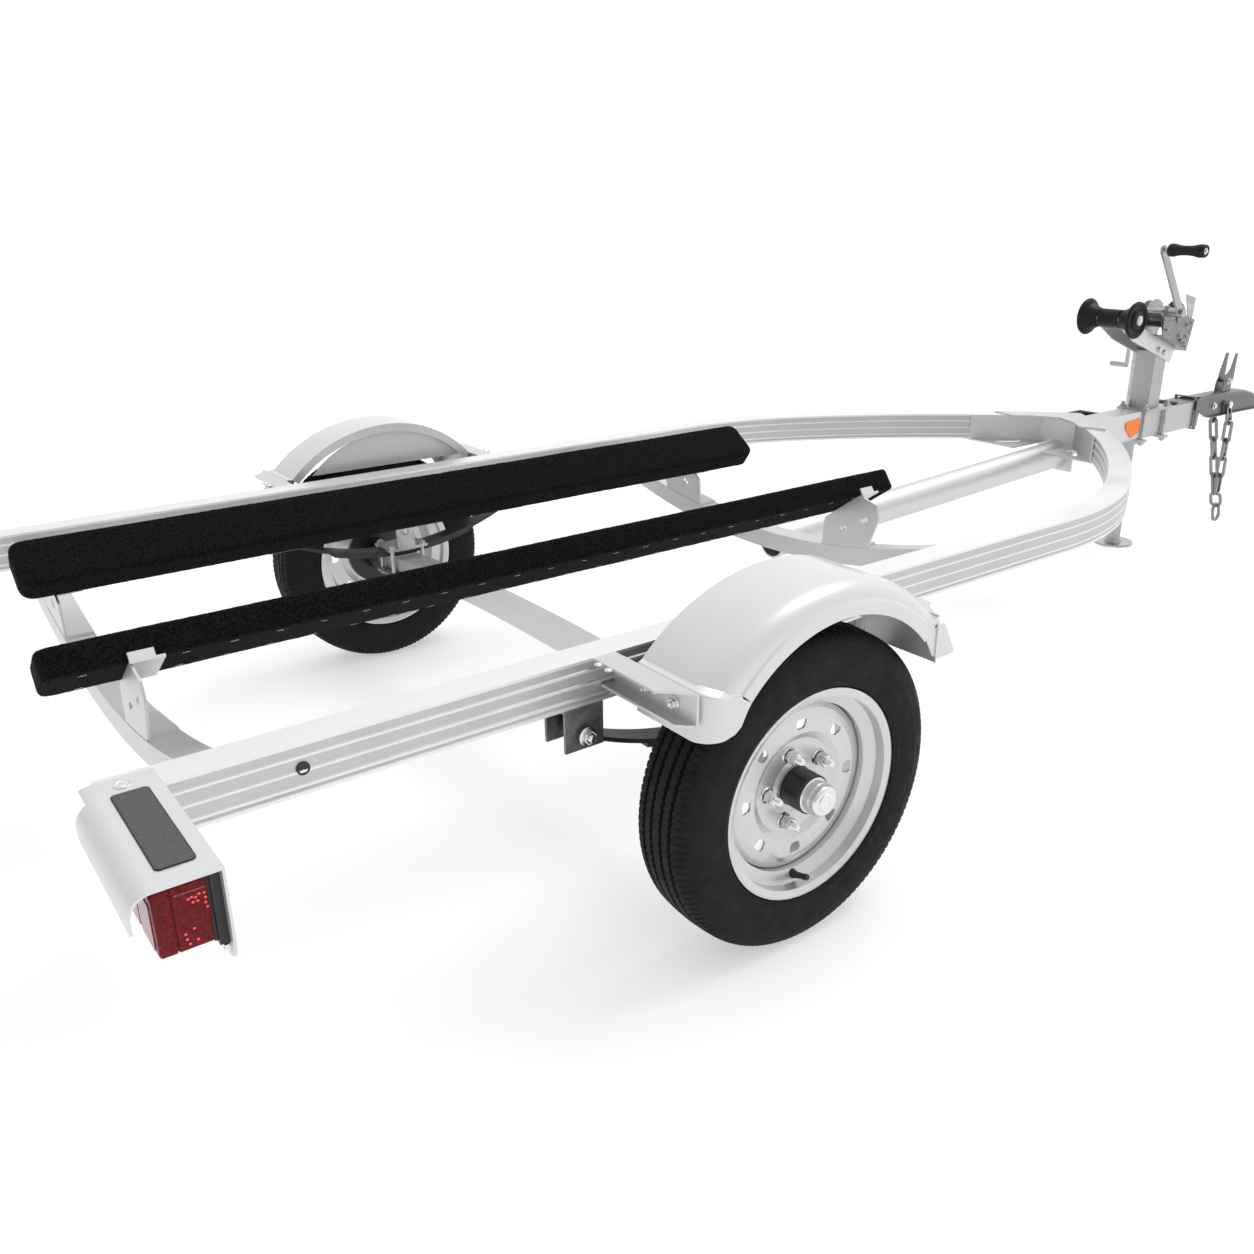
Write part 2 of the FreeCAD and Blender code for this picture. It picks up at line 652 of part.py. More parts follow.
for label, side in (("left", 1), ("right", -1)):
    node("tyre_" + label, stand(tyre(), side))
    node("rim_" + label, stand(rim(), side))
    node("hub_" + label, stand(hub(), side))
    node("hub_cap_" + label, stand(nuts(), side))


# Suspension.
def leaf(low, length, drop):
    """One curved leaf; low is the height of its underside at the middle."""
    centre = "(%s)+leaf_rad" % low
    start = "spring_y-spring_wide/2"
    curve = cut(rod("y", "axle_x", start, centre, "leaf_rad", "spring_wide"),
                rod("y", "axle_x", "%s-1" % start, centre, "leaf_rad-leaf", "spring_wide+2"))
    keep = box("axle_x-(%s)" % length, "%s-1" % start, "(%s)-5" % low,
               "2*(%s)" % length, "spring_wide+2", drop)
    return common(curve, keep)


def spring():
    pieces = [leaf("pad_top+leaf", "spring_half-6", "150"),
              leaf("pad_top", "spring_half*0.6", "60")]
    bores = []
    for sign in ("-", "+"):
        x = "axle_x%sspring_half" % sign
        start = "spring_y-spring_wide/2"
        pieces.append(rod("y", x, start, "eye_z", "eye_rad", "spring_wide"))
        bores.append(rod("y", x, start + "-5", "eye_z", "bolt_rad+gap", "spring_wide+10"))
    return cut(fuse(*pieces), *bores)


def hangers():
    pieces = []
    for sign in ("-", "+"):
        x = "axle_x%sspring_half" % sign
        shell = box(x + "-32", "spring_y-27", "eye_z-22", "64", "54",
                    "rail_top-rail_tall-eye_z+22")
        gap = box(x + "-40", "spring_y-22", "eye_z-30", "80", "44",
                  "rail_top-rail_tall-eye_z+25")
        pieces.append(fuse(
            cut(shell, gap),
            rod("y", x, "spring_y-36", "eye_z", "bolt_rad", "72"),
            rod("y", x, "spring_y-34", "eye_z", "11", "7"),
            rod("y", x, "spring_y+27", "eye_z", "11", "7")))
    return group(*pieces)


def clamp():
    """Plate on the spring, its tab, the U-bolts and the plate under the axle."""
    top = "pad_top+2*leaf"
    plate = common(box("axle_x-50", "spring_y-38", top + "-1", "100", "76", "8"),
                   rod("y", "axle_x", "spring_y-40", "pad_top+leaf+leaf_rad",
                       "leaf_rad-leaf", "80"))
    tab = cut(box("axle_x-26", "spring_y-38", top, "44", "5", "62"),
              rod("y", "axle_x-4", "spring_y-40", top + "+44", "8", "10"))
    legs = []
    for dx in ("-38", "+38"):
        for dy in ("-30", "+30"):
            legs.append(rod("z", "axle_x" + dx, "spring_y" + dy, "axle_top-axle_tall-43",
                            "5", "%s+16-axle_top+axle_tall+43" % top))
            legs.append(rod("z", "axle_x" + dx, "spring_y" + dy, top + "+6", "9", "7"))
    low = box("axle_x-50", "spring_y-38", "axle_top-axle_tall-34.7", "100", "72", "6")
    return fuse(plate, tab, low, *legs)


node("leaf_spring_left", spring())
node("leaf_spring_right", mirror(NODES["leaf_spring_left"]))
node("spring_hangers_left", hangers())
node("spring_hangers_right", mirror(NODES["spring_hangers_left"]))
node("spring_clamp_left", clamp())
node("spring_clamp_right", mirror(NODES["spring_clamp_left"]))


# Bunks and brackets.
def tilted(obj, side=1, axis=(1, 0, 0), angle="bunk_tilt"):
    """Turn a piece about an axis by a size; side -1 turns it the other way."""
    obj.Placement = Placement(Vector(), Rotation(Vector(*axis) * side, num(angle)))
    return bind(obj, Placement__Rotation__Angle=angle)


def bunk(side):
    """A carpeted board with rounded ends, tilted in towards the keel."""
    owner = body()
    sk = sketch(owner, "XY_Plane")
    half = "bunk_wide/2"
    outline(sk, [("0", "-" + half), ("bunk_long", "-" + half), ("bunk_long", half), ("0", half)])
    slab = pad(owner, sk, "bunk_thick")
    DOC.recompute()
    corners = ["Edge%d" % i for i, edge in enumerate(slab.Shape.Edges, 1)
               if edge.BoundBox.ZLength > 1]
    ends = owner.newObject("PartDesign::Fillet", fresh("Ends"))
    ends.Base = (slab, corners)
    bind(ends, Radius="bunk_corner")
    DOC.recompute()
    flats = ["Face%d" % i for i, face in enumerate(ends.Shape.Faces, 1)
             if abs(face.normalAt(0.5, 0.5).z) > 0.9]
    soft = owner.newObject("PartDesign::Fillet", fresh("Soft"))
    soft.Base = (ends, flats)
    bind(soft, Radius="bunk_round")
    tilted(owner, side)
    sign, back = ("", "bunk_back_left") if side > 0 else ("-", "bunk_back_right")
    return at(owner, "axle_x-" + back,
              sign + "(bunk_y+bunk_thick/2*sin(bunk_tilt*1deg))",
              "bunk_z-bunk_thick/2*cos(bunk_tilt*1deg)")


node("bunk_left", bunk(1))
node("bunk_right", bunk(-1))


def strip(x, length, across, along, wide, thick):
    """A plate square to the bunk: across and along start from the middle of its
    section, outwards along the slope and square to it."""
    obj = DOC.addObject("Part::Box", fresh("Plate"))
    tilted(obj)
    bind(obj, Length=length, Width=wide, Height=thick)
    c, s = "cos(bunk_tilt*1deg)", "sin(bunk_tilt*1deg)"
    return at(obj, x, "bunk_y+(%s)*%s-(%s)*%s" % (across, c, along, s),
              "bunk_z+(%s)*%s+(%s)*%s" % (across, s, along, c))


def bracket(x):
    """A bunk bracket: web, shelf under the board, clip beside it and a foot that
    follows the crossmember."""
    crown = "cross_low+cross_rad"
    web = prism("YZ_Plane", x, [
        ("bunk_y-47", "cross_low-20"), ("bunk_y+60", "cross_low-20"),
        ("bunk_y+104", "bunk_z-32"), ("bunk_y+96", "bunk_z-4"),
        ("bunk_y+bunk_wide/2", "bunk_z+8"), ("bunk_y-33", "bunk_z-45"),
        ("bunk_y-41", "bunk_z-58")], "bracket")
    web = common(web, rod("x", x + "-1", "0", crown, "cross_rad", "bracket+2"))
    clear = strip(x + "-5", "cross_long+10", "-bunk_wide", "-bunk_thick/2", "2*bunk_wide",
                  "3*bunk_thick")
    low = "-bunk_thick/2-bracket"
    shelf = strip(x, "cross_long-2", "-bunk_wide*0.44", low, "bunk_wide*0.94+bracket", "bracket")
    clip = strip(x, "34", "bunk_wide/2", low, "bracket", "bracket*4")
    foot = common(
        cut(rod("x", x, "0", crown, "cross_rad", "cross_long-2"),
            rod("x", x + "-1", "0", crown, "cross_rad-bracket", "cross_long")),
        box(x + "-1", "bunk_y-47", "cross_low-10", "cross_long", "107", "70"))
    slots = []
    for dy, dz in (("6", "-72"), ("62", "-44")):
        slots.append(rod("x", x + "-5", "bunk_y+" + dy, "bunk_z" + dz, "5", "bracket+10"))
        slots.append(rod("x", x + "-5", "bunk_y+%s+9" % dy, "bunk_z%s+5" % dz, "5",
                         "bracket+10"))
    return fuse(cut(web, clear, *slots), shelf, clip, foot)


for label, x in (("rear", "axle_x-cross_back+1"), ("front", "axle_x+cross_fore+1")):
    piece = node("bunk_bracket_%s_left" % label, bracket(x))
    node("bunk_bracket_%s_right" % label, mirror(piece))


# Fenders and the arms that carry them.
FENDER_X = "(axle_x+fender_fore)"


def flap(front):
    """The skirt's end below the shoulder, with round lower corners, and the ledge and
    lip by which the sheet meets the arm."""
    sign, other = ("+", "-") if front else ("-", "+")
    end = "axle_x%s%s" % (sign, "flap_fore" if front else "flap_back")
    near = "axle_x%sarm_near" % sign
    reach = "sqrt(fender_rad^2-(rail_top-fender_mid)^2)"
    arch = "%s%s%s" % (FENDER_X, sign, reach)
    cr = "(fender_rad-fender_round)"
    crease = "%s%s%s*(%s)/fender_rad" % (FENDER_X, sign, reach, cr)
    low = "flap_low"
    side = prism("XZ_Plane", "-fender_out", [
        (near, "rail_top"), ("%s%s8" % (end, other), "flap_low+56"), (end, "flap_low+34"),
        ("%s%s3" % (end, other), "flap_low+17"), ("%s%s12" % (end, other), "flap_low+5"),
        ("%s%s28" % (end, other), low), ("%s%s72" % (end, other), "flap_low+1"),
        ("%s%s14" % (crease, sign), "flap_low+7"), (crease, "flap_low+22"),
        ("%s%s6" % (crease, other), "flap_low+45"),
        (crease, "fender_mid+(rail_top-fender_mid)*%s/fender_rad" % cr),
        (arch, "rail_top")], "fender_sheet")
    start, long = ("%s-1" % arch, "%s-(%s)+1" % (near, arch)) if front else (
        near, "%s+1-(%s)" % (arch, near))
    ledge = box(start, "fender_in", "rail_top-fender_sheet", long,
                "fender_out-fender_in", "fender_sheet")
    lip = box("%s-fender_sheet" % near if front else near, "fender_in", "arm_low+bracket",
              "fender_sheet", "arm_end-fender_in-8", "rail_top-arm_low-bracket")
    return [side, ledge, lip]


def fender():
    """Rolled sheet over the tyre: a round shoulder, a crease and a skirt outside, a
    sunk panel inside and flaps at both ends."""
    owner = body()
    sk = sketch(owner, "YZ_Plane")
    cy, cr = "fender_out-fender_lip-fender_round", "fender_rad-fender_round"
    skin = "fender_sheet"
    profile(sk, [
        ("fender_in", "fender_rad"), (cy, "fender_rad"),
        ("fender_out-fender_lip", cr, cy, cr), ("fender_out", cr),
        ("fender_out", "fender_skirt"), ("fender_out-" + skin, "fender_skirt"),
        ("fender_out-" + skin, cr + "-" + skin),
        ("fender_out-fender_lip-" + skin, cr + "-" + skin),
        ("fender_out-fender_lip-" + skin, cr),
        (cy, "fender_rad-" + skin, cy, cr), ("fender_in+" + skin, "fender_rad-" + skin),
        ("fender_in+" + skin, "fender_rad-fender_step"),
        ("fender_in+fender_sunk+" + skin, "fender_rad-fender_step-fender_sunk-1"),
        ("fender_in+fender_sunk+" + skin, "panel_low-fender_mid-8"),
        ("fender_in+fender_sunk", "panel_low-fender_mid-8"),
        ("fender_in+fender_sunk", "fender_rad-fender_step-fender_sunk"),
        ("fender_in", "fender_rad-fender_step+1")])
    arch = turn(owner, sk, angle="2*acos((rail_top-fender_mid)/fender_rad)")
    arch.Midplane = True
    at(owner, FENDER_X, "0", "fender_mid")
    open_side = common(
        box("%s-fender_rad" % FENDER_X, "fender_in-5", "0", "2*fender_rad",
            "fender_sunk+20", "panel_low"),
        rod("y", FENDER_X, "fender_in-5", "fender_mid", "fender_rad-fender_step+1",
            "fender_sunk+20"))
    return fuse(cut(owner, open_side), *(flap(False) + flap(True)))


def arm(front):
    """A channel from the rail to the end of the fender, open away from the wheel; its
    top narrows in a curve at the end and its foot is cut off slanting."""
    sign = "+" if front else "-"
    near = "axle_x%sarm_near" % sign

    def slab(depth, low, tall):
        return box(near if front else "%s-%s" % (near, depth), "rail_y", low, depth,
                   "arm_end-rail_y", tall)

    web = slab("bracket", "arm_low", "rail_top-arm_low")
    top = cut(slab("(arm_far-arm_near)", "rail_top-bracket", "bracket"),
              rod("z", "axle_x%s(arm_far+32)" % sign, "arm_end+17", "rail_top-bracket-5",
                  "70", "bracket+10"))
    foot = prism("XY_Plane", "arm_low", [
        (near, "rail_y"), (near, "arm_end"), ("%s%sarm_foot/2" % (near, sign), "arm_end-8"),
        ("%s%sarm_foot" % (near, sign), "arm_end-21"),
        ("%s%sarm_foot" % (near, sign), "rail_y")], "bracket")
    slots = []
    for y in ("rail_y+76", "rail_y+136"):
        for dy in ("-5", "+0", "+5"):
            slots.append(rod("x", "axle_x-2*arm_far", y + dy, "arm_low+20", "5", "4*arm_far"))
    return cut(fuse(web, top, foot), *slots)


node("fender_left", fender())
node("fender_right", mirror(NODES["fender_left"]))
for label, front in (("rear", False), ("front", True)):
    piece = node("fender_arm_%s_left" % label, arm(front))
    node("fender_arm_%s_right" % label, mirror(piece))


# Rear lamps under their step guards.
def guard():
    """Bent sheet: step plate with a rolled rear edge and a front plate down to the
    lamp's lower edge."""
    owner = body()
    sk = sketch(owner, "XZ_Plane", "-lamp_out")
    back, front = "axle_x-lamp_back", "axle_x-lamp_front"
    top, skin = "rail_top+guard_sheet", "guard_sheet"
    mid_x, mid_z = back + "+guard_roll", top + "-guard_roll"
    profile(sk, [
        (back, mid_z), (mid_x, top, mid_x, mid_z), (front, top), (front, "rail_top"),
        (mid_x, "rail_top"), (back + "+" + skin, mid_z, mid_x, mid_z),
        (back + "+" + skin, mid_z + "-14"), (back, mid_z + "-14")])
    pad(owner, sk, "lamp_out-lamp_in")
    plate = prism("YZ_Plane", front + "-" + skin, [
        ("rail_y+gap", "rail_top"), ("lamp_out", "rail_top"), ("lamp_out", "lamp_low+22"),
        ("lamp_out-6", "lamp_low+6"), ("lamp_out-20", "lamp_low"),
        ("rail_y+24", "lamp_low"), ("rail_y+gap", "lamp_low+40")], skin)
    clear = box(back + "-5", "lamp_in-5", "rail_top-guard_roll-20", "guard_roll+60",
                "rail_y+gap-lamp_in+5", "guard_roll+20")
    return fuse(cut(owner, clear), plate)


def lens():
    """The lamp: a box with a chamfered rear edge round its reflex face."""
    back, front = "axle_x-lamp_front-guard_sheet-base_thick-lens_deep", \
        "axle_x-lamp_front-guard_sheet-base_thick"
    owner = prism("YZ_Plane", back + "+6", [
        ("lens_in", "lens_low"), ("lens_out", "lens_low"), ("lens_out", "lens_top"),
        ("lens_in", "lens_top")], "lens_deep-6")
    face = prism("YZ_Plane", back, [
        ("lens_in+5", "lens_low+5"), ("lens_out-5", "lens_low+5"),
        ("lens_out-5", "lens_top-5"), ("lens_in+5", "lens_top-5")], "6")
    return fuse(owner, face)


node("lamp_guard_left", guard())
node("lamp_guard_right", mirror(NODES["lamp_guard_left"]))
node("lamp_base_left", box("axle_x-lamp_front-guard_sheet-base_thick", "lens_in-4",
                           "lens_low-3", "base_thick", "lens_out-lens_in+8",
                           "lens_top-lens_low+6"))
node("lamp_base_right", mirror(NODES["lamp_base_left"]))
node("lamp_lens_left", lens())
node("lamp_lens_right", mirror(NODES["lamp_lens_left"]))


# Nose gusset and tongue.
SIN1 = "((bend_mid-bend_start)/bend_tight)"
COS1 = "sqrt(1-%s^2)" % SIN1
ROUND_X = "(axle_x+bend_mid-bend_wide*%s)" % SIN1
ROUND_Y = "(rail_y-bend_tight+(bend_tight-bend_wide)*%s)" % COS1


def bowed(z, inset, tall):
    """A disc as large as the rails' second curve, less an inset."""
    return rod("z", ROUND_X, ROUND_Y, z, "bend_wide-(%s)" % inset, tall)


def wing(z, plan, tall):
    """A flat plate under or over one rail, its outer edge along the rail."""
    return common(prism("XY_Plane", z, plan, tall), bowed(z + "-1", "8", tall + "+2"))


def gusset_side():
    """The left half of the folded plate that ties the rails to the tongue."""
    skin = "gusset_sheet"
    back, web = "axle_x+gusset_back", "axle_x+tongue_back"
    top = wing("rail_top", [
        ("axle_x+tongue_back-4", "0"), ("axle_x+tongue_back-38", "66"),
        ("axle_x+tongue_back-74", "104"), ("axle_x+tongue_back-30", "300"),
        ("axle_x+bend_end+4", "300"), ("axle_x+bend_end+4", "92"),
        ("axle_x+bend_end+64", "52"), ("axle_x+bend_end+118", "tongue_half+gusset_sheet"),
        ("axle_x+bend_end+118", "0")], skin)
    low = wing("rail_top-rail_tall-" + skin, [
        (back, "tube_rad+6"), (back, "400"), ("axle_x+bend_end-10", "400"),
        ("axle_x+bend_end-10", "100"), ("axle_x+bend_end+56", "tongue_half"),
        (web + "-6", "tongue_half"), (web + "-6", "tube_rad+6")], skin)
    slot_x, slot_y = back + "+55", "tube_rad+64"
    slot = prism("XY_Plane", "rail_top-rail_tall-20", [
        ("%s+%g*0.84+%g*0.55" % (slot_x, a, b), "%s-%g*0.55+%g*0.84" % (slot_y, a, b))
        for a, b in ((-38, -5), (-31, -13), (31, -13), (38, -5), (38, 5), (31, 13),
                     (-31, 13), (-38, 5))], "40")
    low = cut(low, slot, *[rod("z", back + x, y, "rail_top-rail_tall-20", "5", "40")
                           for x, y in (("+83", "143"), ("+95", "160"))])
    face = common(cut(bowed("rail_top-rail_tall", "rail_wide", "rail_tall"),
                      bowed("rail_top-rail_tall-1", "rail_wide+gusset_sheet",
                            "rail_tall+2")),
                  box(back, "10", "rail_top-rail_tall-5", "tongue_back-gusset_back-4",
                      "400", "rail_tall+10"))
    slope = prism("XZ_Plane", "-tongue_half-" + skin, [
        (web + "-6", "gusset_low"), ("axle_x+gusset_front", "gusset_low"),
        ("axle_x+gusset_front", "tongue_low+tongue_tall+" + skin),
        ("axle_x+bend_end+190", "tongue_low+tongue_tall+" + skin),
        ("axle_x+bend_end+118", "rail_top+" + skin), (web + "-6", "rail_top+" + skin)], skin)
    return [top, low, face, slope]


def gusset():
    left = fuse(*gusset_side())
    bend = prism("XZ_Plane", "-tongue_half-0.5", [
        ("axle_x+bend_end+118", "rail_top"), ("axle_x+bend_end+190", "tongue_low+tongue_tall"),
        ("axle_x+gusset_front", "tongue_low+tongue_tall"),
        ("axle_x+gusset_front", "tongue_low+tongue_tall+gusset_sheet"),
        ("axle_x+bend_end+190", "tongue_low+tongue_tall+gusset_sheet"),
        ("axle_x+bend_end+118", "rail_top+gusset_sheet"),
        ("axle_x+bend_end+112", "rail_top+gusset_sheet"),
        ("axle_x+bend_end+112", "rail_top")], "2*tongue_half+1")
    web = box("axle_x+tongue_back-6", "-tongue_half-26", "tube_z_front-tube_rad-4", "6",
              "2*tongue_half+52", "rail_top-tube_z_front+tube_rad+4")
    return fuse(left, mirror(left), bend, web)


node("nose_gusset", gusset())
node("tongue_beam", cut(
    box("axle_x+tongue_back", "-tongue_half", "tongue_low", "tongue_front-tongue_back",
        "2*tongue_half", "tongue_tall"),
    box("axle_x+tongue_back-5", "-tongue_half+tongue_wall", "tongue_low+tongue_wall",
        "tongue_front-tongue_back+10", "2*tongue_half-2*tongue_wall",
        "tongue_tall-2*tongue_wall")))


def centre_tube():
    """Round tube from the front crossmember up to the nose gusset."""
    run = "(tongue_back-6-cross_fore-cross_long)"
    slope = "atan((tube_z_front-tube_z_back)/%s)" % run
    pieces = []
    for radius in ("tube_rad", "tube_rad-tube_wall"):
        piece = DOC.addObject("Part::Cylinder", fresh("Tube"))
        piece.Placement = Placement(Vector(), Rotation(Vector(0, 1, 0), 87))
        bind(piece, Radius=radius, Height=run + "+200", Placement__Rotation__Angle="90-%s/1deg"
             % slope)
        at(piece, "axle_x+cross_fore+cross_long-100", "0",
           "tube_z_back-100*(tube_z_front-tube_z_back)/" + run)
        pieces.append(piece)
    keep = box("axle_x+cross_fore+cross_long", "-tube_rad-5", "tube_z_back-tube_rad-50", run,
               "2*tube_rad+10", "2*tube_rad+300")
    return common(cut(*pieces), keep)


node("tongue_tube", centre_tube())


def reflector(side):
    start = "-tongue_half-gusset_sheet-reflex" if side > 0 else "tongue_half+gusset_sheet"
    x, z = "axle_x+gusset_front-%d", "gusset_low+%d"
    return prism("XZ_Plane", start, [
        (x % 78, z % 36), (x % 80, z % 55), (x % 8, z % 61), (x % 5, z % 18), (x % 45, z % 6)],
        "reflex")


node("side_reflector_left", reflector(1))
node("side_reflector_right", reflector(-1))


# Bow post, its U-bolts and the winch arm on top.
POST_X = "axle_x+post_back"
UBOLTS = (POST_X + "-plate_back+12", POST_X + "+post_wide+plate_fore-12")
BEAM_TOP = "tongue_low+tongue_tall"


def post():
    hollow = box(POST_X + "+post_wall", "-post_wide/2+post_wall", BEAM_TOP + "-5",
                 "post_wide-2*post_wall", "post_wide-2*post_wall", "post_top")
    tube = box(POST_X, "-post_wide/2", BEAM_TOP, "post_wide", "post_wide",
               "post_top-tongue_low-tongue_tall")
    plate = box(POST_X + "-plate_back", "-plate_half", BEAM_TOP,
                "post_wide+plate_back+plate_fore", "2*plate_half", "post_plate")
    holes = [rod("z", x, y, BEAM_TOP + "-5", "ubolt_rad+gap", "post_plate+10")
             for x in UBOLTS for y in ("tongue_half+ubolt_rad+2", "-tongue_half-ubolt_rad-2")]
    return cut(fuse(tube, plate), hollow, *holes)


def ubolts(x):
    """Two legs beside the beam, a bar under it and nuts above and below."""
    pieces = [box(x + "-10", "-tongue_half-20", "tongue_low-post_plate", "20",
                  "2*tongue_half+40", "post_plate")]
    for y in ("tongue_half+ubolt_rad+2", "-tongue_half-ubolt_rad-2"):
        pieces.append(rod("z", x, y, "tongue_low-post_plate-10", "ubolt_rad",
                          "tongue_tall+2*post_plate+26"))
        pieces.append(rod("z", x, y, "tongue_low-post_plate-7", "ubolt_rad+4", "7"))
        pieces.append(rod("z", x, y, BEAM_TOP + "+post_plate", "ubolt_rad+4", "7"))
    return fuse(*pieces)


node("bow_post", post())
node("post_ubolt_rear", ubolts(UBOLTS[0]))
node("post_ubolt_front", ubolts(UBOLTS[1]))


def headed(u, v):
    """Where a point of the sloping winch arm comes to."""
    x = "axle_x+post_back+post_wide/2+(%s)*cos(arm_tilt*1deg)+(%s)*sin(arm_tilt*1deg)" % (u, v)
    z = "head_z-(%s)*sin(arm_tilt*1deg)+(%s)*cos(arm_tilt*1deg)" % (u, v)
    return x, z


def on_head(obj):
    """Tilt a piece modelled along the level winch arm onto the bow post."""
    tilted(obj, 1, (0, 1, 0), "arm_tilt")
    x, z = headed("0", "0")
    return at(obj, x, "0", z)


def winch_arm():
    """Channel open below, whose sides run back as ears round the roller's pin."""
    skin = "bracket"
    side = "head_half-" + skin
    plate = [("head_fore", "-head_tall"), ("head_fore", "0"), ("roller_u+40", "0"),
             ("roller_u-10", "roller_v+roller_pin+8"), ("roller_u-22", "roller_v-6"),
             ("roller_u-8", "roller_v-roller_pin-12"), ("-head_back", "-head_tall")]
    left = prism("XZ_Plane", "-head_half", plate, skin)
    right = prism("XZ_Plane", side, plate, skin)
    top = box("roller_u+roller_rad+14", "-head_half+1", "-" + skin,
              "head_fore-roller_u-roller_rad-14", "2*head_half-2", skin)
    pin_rod = rod("y", "roller_u", "-roller_end-6", "roller_v", "roller_pin", "2*roller_end+12")
    heads = [rod("y", "roller_u", y, "roller_v", "roller_pin+5", "4")
             for y in ("roller_end+gap", "-roller_end-gap-4")]
    bolts = [rod("y", u, y, "-head_tall*0.62", "8", "6")
             for u in ("-16", "16") for y in ("head_half", "-head_half-6")]
    return on_head(fuse(left, right, top, pin_rod, *(heads + bolts)))


def roller():
    """Two rubber cones outside the ears and a sleeve between them."""
    bore = "roller_pin+fit"
    pieces = []
    for side in (1, -1):
        owner = body()
        sk = sketch(owner, "YZ_Plane")
        outline(sk, [("head_half+gap", bore), ("head_half+gap", "roller_waist-3"),
                     ("head_half+5", "roller_waist"), ("head_half+12", "roller_waist+2"),
                     ("roller_end-20", "roller_rad-13"), ("roller_end-14", "roller_rad-4"),
                     ("roller_end-10", "roller_rad-1"), ("roller_end-7", "roller_rad"),
                     ("roller_end-3", "roller_rad-1.5"), ("roller_end-1", "roller_rad-4"),
                     ("roller_end-1.5", "roller_rad-8"), ("roller_end-7", "roller_rad-12"),
                     ("roller_end-8", "roller_waist+4"), ("roller_end-6", "roller_waist"),
                     ("roller_end", "roller_waist-4"), ("roller_end", bore)])
        turn(owner, sk)
        if side < 0:
            owner.Placement = Placement(Vector(), Rotation(Vector(0, 0, 1), 180))
        pieces.append(owner)
    tube = cut(rod("y", "0", "-head_half+bracket+gap", "0", "roller_waist-2",
                   "2*(head_half-bracket-gap)"),
               rod("y", "0", "-head_half", "0", bore, "2*head_half"))
    x, z = headed("roller_u", "roller_v")
    return at(group(*(pieces + [tube])), x, "0", z)


node("winch_arm", winch_arm())
node("bow_roller", roller())


# Winch: frame, drum with its gear, crank with its pinion, grip.
MESH = "(gear_rad+pinion_rad)"
CRANK_U = "(reel_u-%s*cos(mesh_angle*1deg))" % MESH
CRANK_V = "(reel_v+%s*sin(mesh_angle*1deg))" % MESH


def winch_frame():
    skin = "winch_sheet"
    plate = [("reel_u-50", "0"), ("reel_u+104", "0"), ("reel_u+92", "winch_tall+6"),
             ("reel_u+12", "winch_tall+2"), (CRANK_U + "+6", CRANK_V + "+crank_pin+8"),
             (CRANK_U + "-10", CRANK_V + "+crank_pin+4"),
             (CRANK_U + "-crank_pin-9", CRANK_V + "-4")]
    right = prism("XZ_Plane", "winch_in", plate, skin)
    left = prism("XZ_Plane", "-winch_far-" + skin, plate, skin)
    base = box("reel_u-50", "-winch_in-1", "0", "154", "winch_in+winch_far+2", skin)
    tie = rod("y", "reel_u+78", "-winch_in-1", "winch_tall-12", "6", "winch_in+winch_far+2")
    bores = [rod("y", "reel_u", "-winch_in-20", "reel_v", "reel_pin+fit", "winch_in+winch_far+40"),
             rod("y", CRANK_U, "-winch_in-20", CRANK_V, "crank_pin+fit",
                 "winch_in+winch_far+40")]
    heads = [rod("y", u, "-winch_in-winch_sheet-5", v, "6", "6")
             for u, v in (("reel_u+78", "winch_tall-12"), ("reel_u+84", "14"),
                          ("reel_u+52", "18"))]
    return on_head(cut(fuse(right, left, base, tie, *heads), *bores))


def toothed(start, pitch, teeth, first):
    """A spur gear about the Y axis from y = start on, its first tooth at an angle up
    from +X; teeth and gaps are equally wide near the pitch circle."""
    owner = body()
    sk = sketch(owner, "XZ_Plane", "-(%s+gear_thick)" % start)
    circle(sk, "0", "0", "%s-tooth_deep" % pitch)
    pad(owner, sk, "gear_thick")
    sk = sketch(owner, "XZ_Plane", "-(%s+gear_thick)" % start)
    outline(sk, [
        ("%s-tooth_deep-1" % pitch, "-tooth_root/2"), ("%s-tooth_deep+1" % pitch,
                                                       "-tooth_root/2"),
        ("%s+tooth_out" % pitch, "-tooth_tip/2"), ("%s+tooth_out" % pitch, "tooth_tip/2"),
        ("%s-tooth_deep+1" % pitch, "tooth_root/2"), ("%s-tooth_deep-1" % pitch,
                                                      "tooth_root/2")])
    one = pad(owner, sk, "gear_thick")
    spread = owner.newObject("PartDesign::PolarPattern", fresh("Teeth"))
    spread.Originals = [one]
    spread.Axis = (sk, ["N_Axis"])
    spread.Angle = 360
    bind(spread, Occurrences=teeth)
    owner.Tip = spread
    return tilted(owner, -1, (0, 1, 0), first)


def reel():
    """Drum, flanges, gear and shaft, about the drum's axis."""
    near, far = "-winch_in+gap", "winch_far-gap"
    gear_end = "%s+gear_thick" % near
    width = "winch_in+winch_far-2*gap"
    obj = fuse(
        rod("y", "0", "-winch_in-winch_sheet-3", "0", "reel_pin",
            "winch_in+winch_far+2*winch_sheet+6"),
        rod("y", "0", near, "0", "reel_core", width),
        toothed(near, "gear_rad", "gear_teeth", "180-arm_tilt-mesh_angle-180/gear_teeth"),
        rod("y", "0", gear_end + "+6", "0", "reel_rad", "3"),
        rod("y", "0", far + "-7", "0", "reel_rad", "3"))
    x, z = headed("reel_u", "reel_v")
    return at(obj, x, "0", z)


def at_crank(obj):
    tilted(obj, -1, (0, 1, 0), "crank_lean")
    x, z = headed(CRANK_U, CRANK_V)
    return at(obj, x, "0", z)


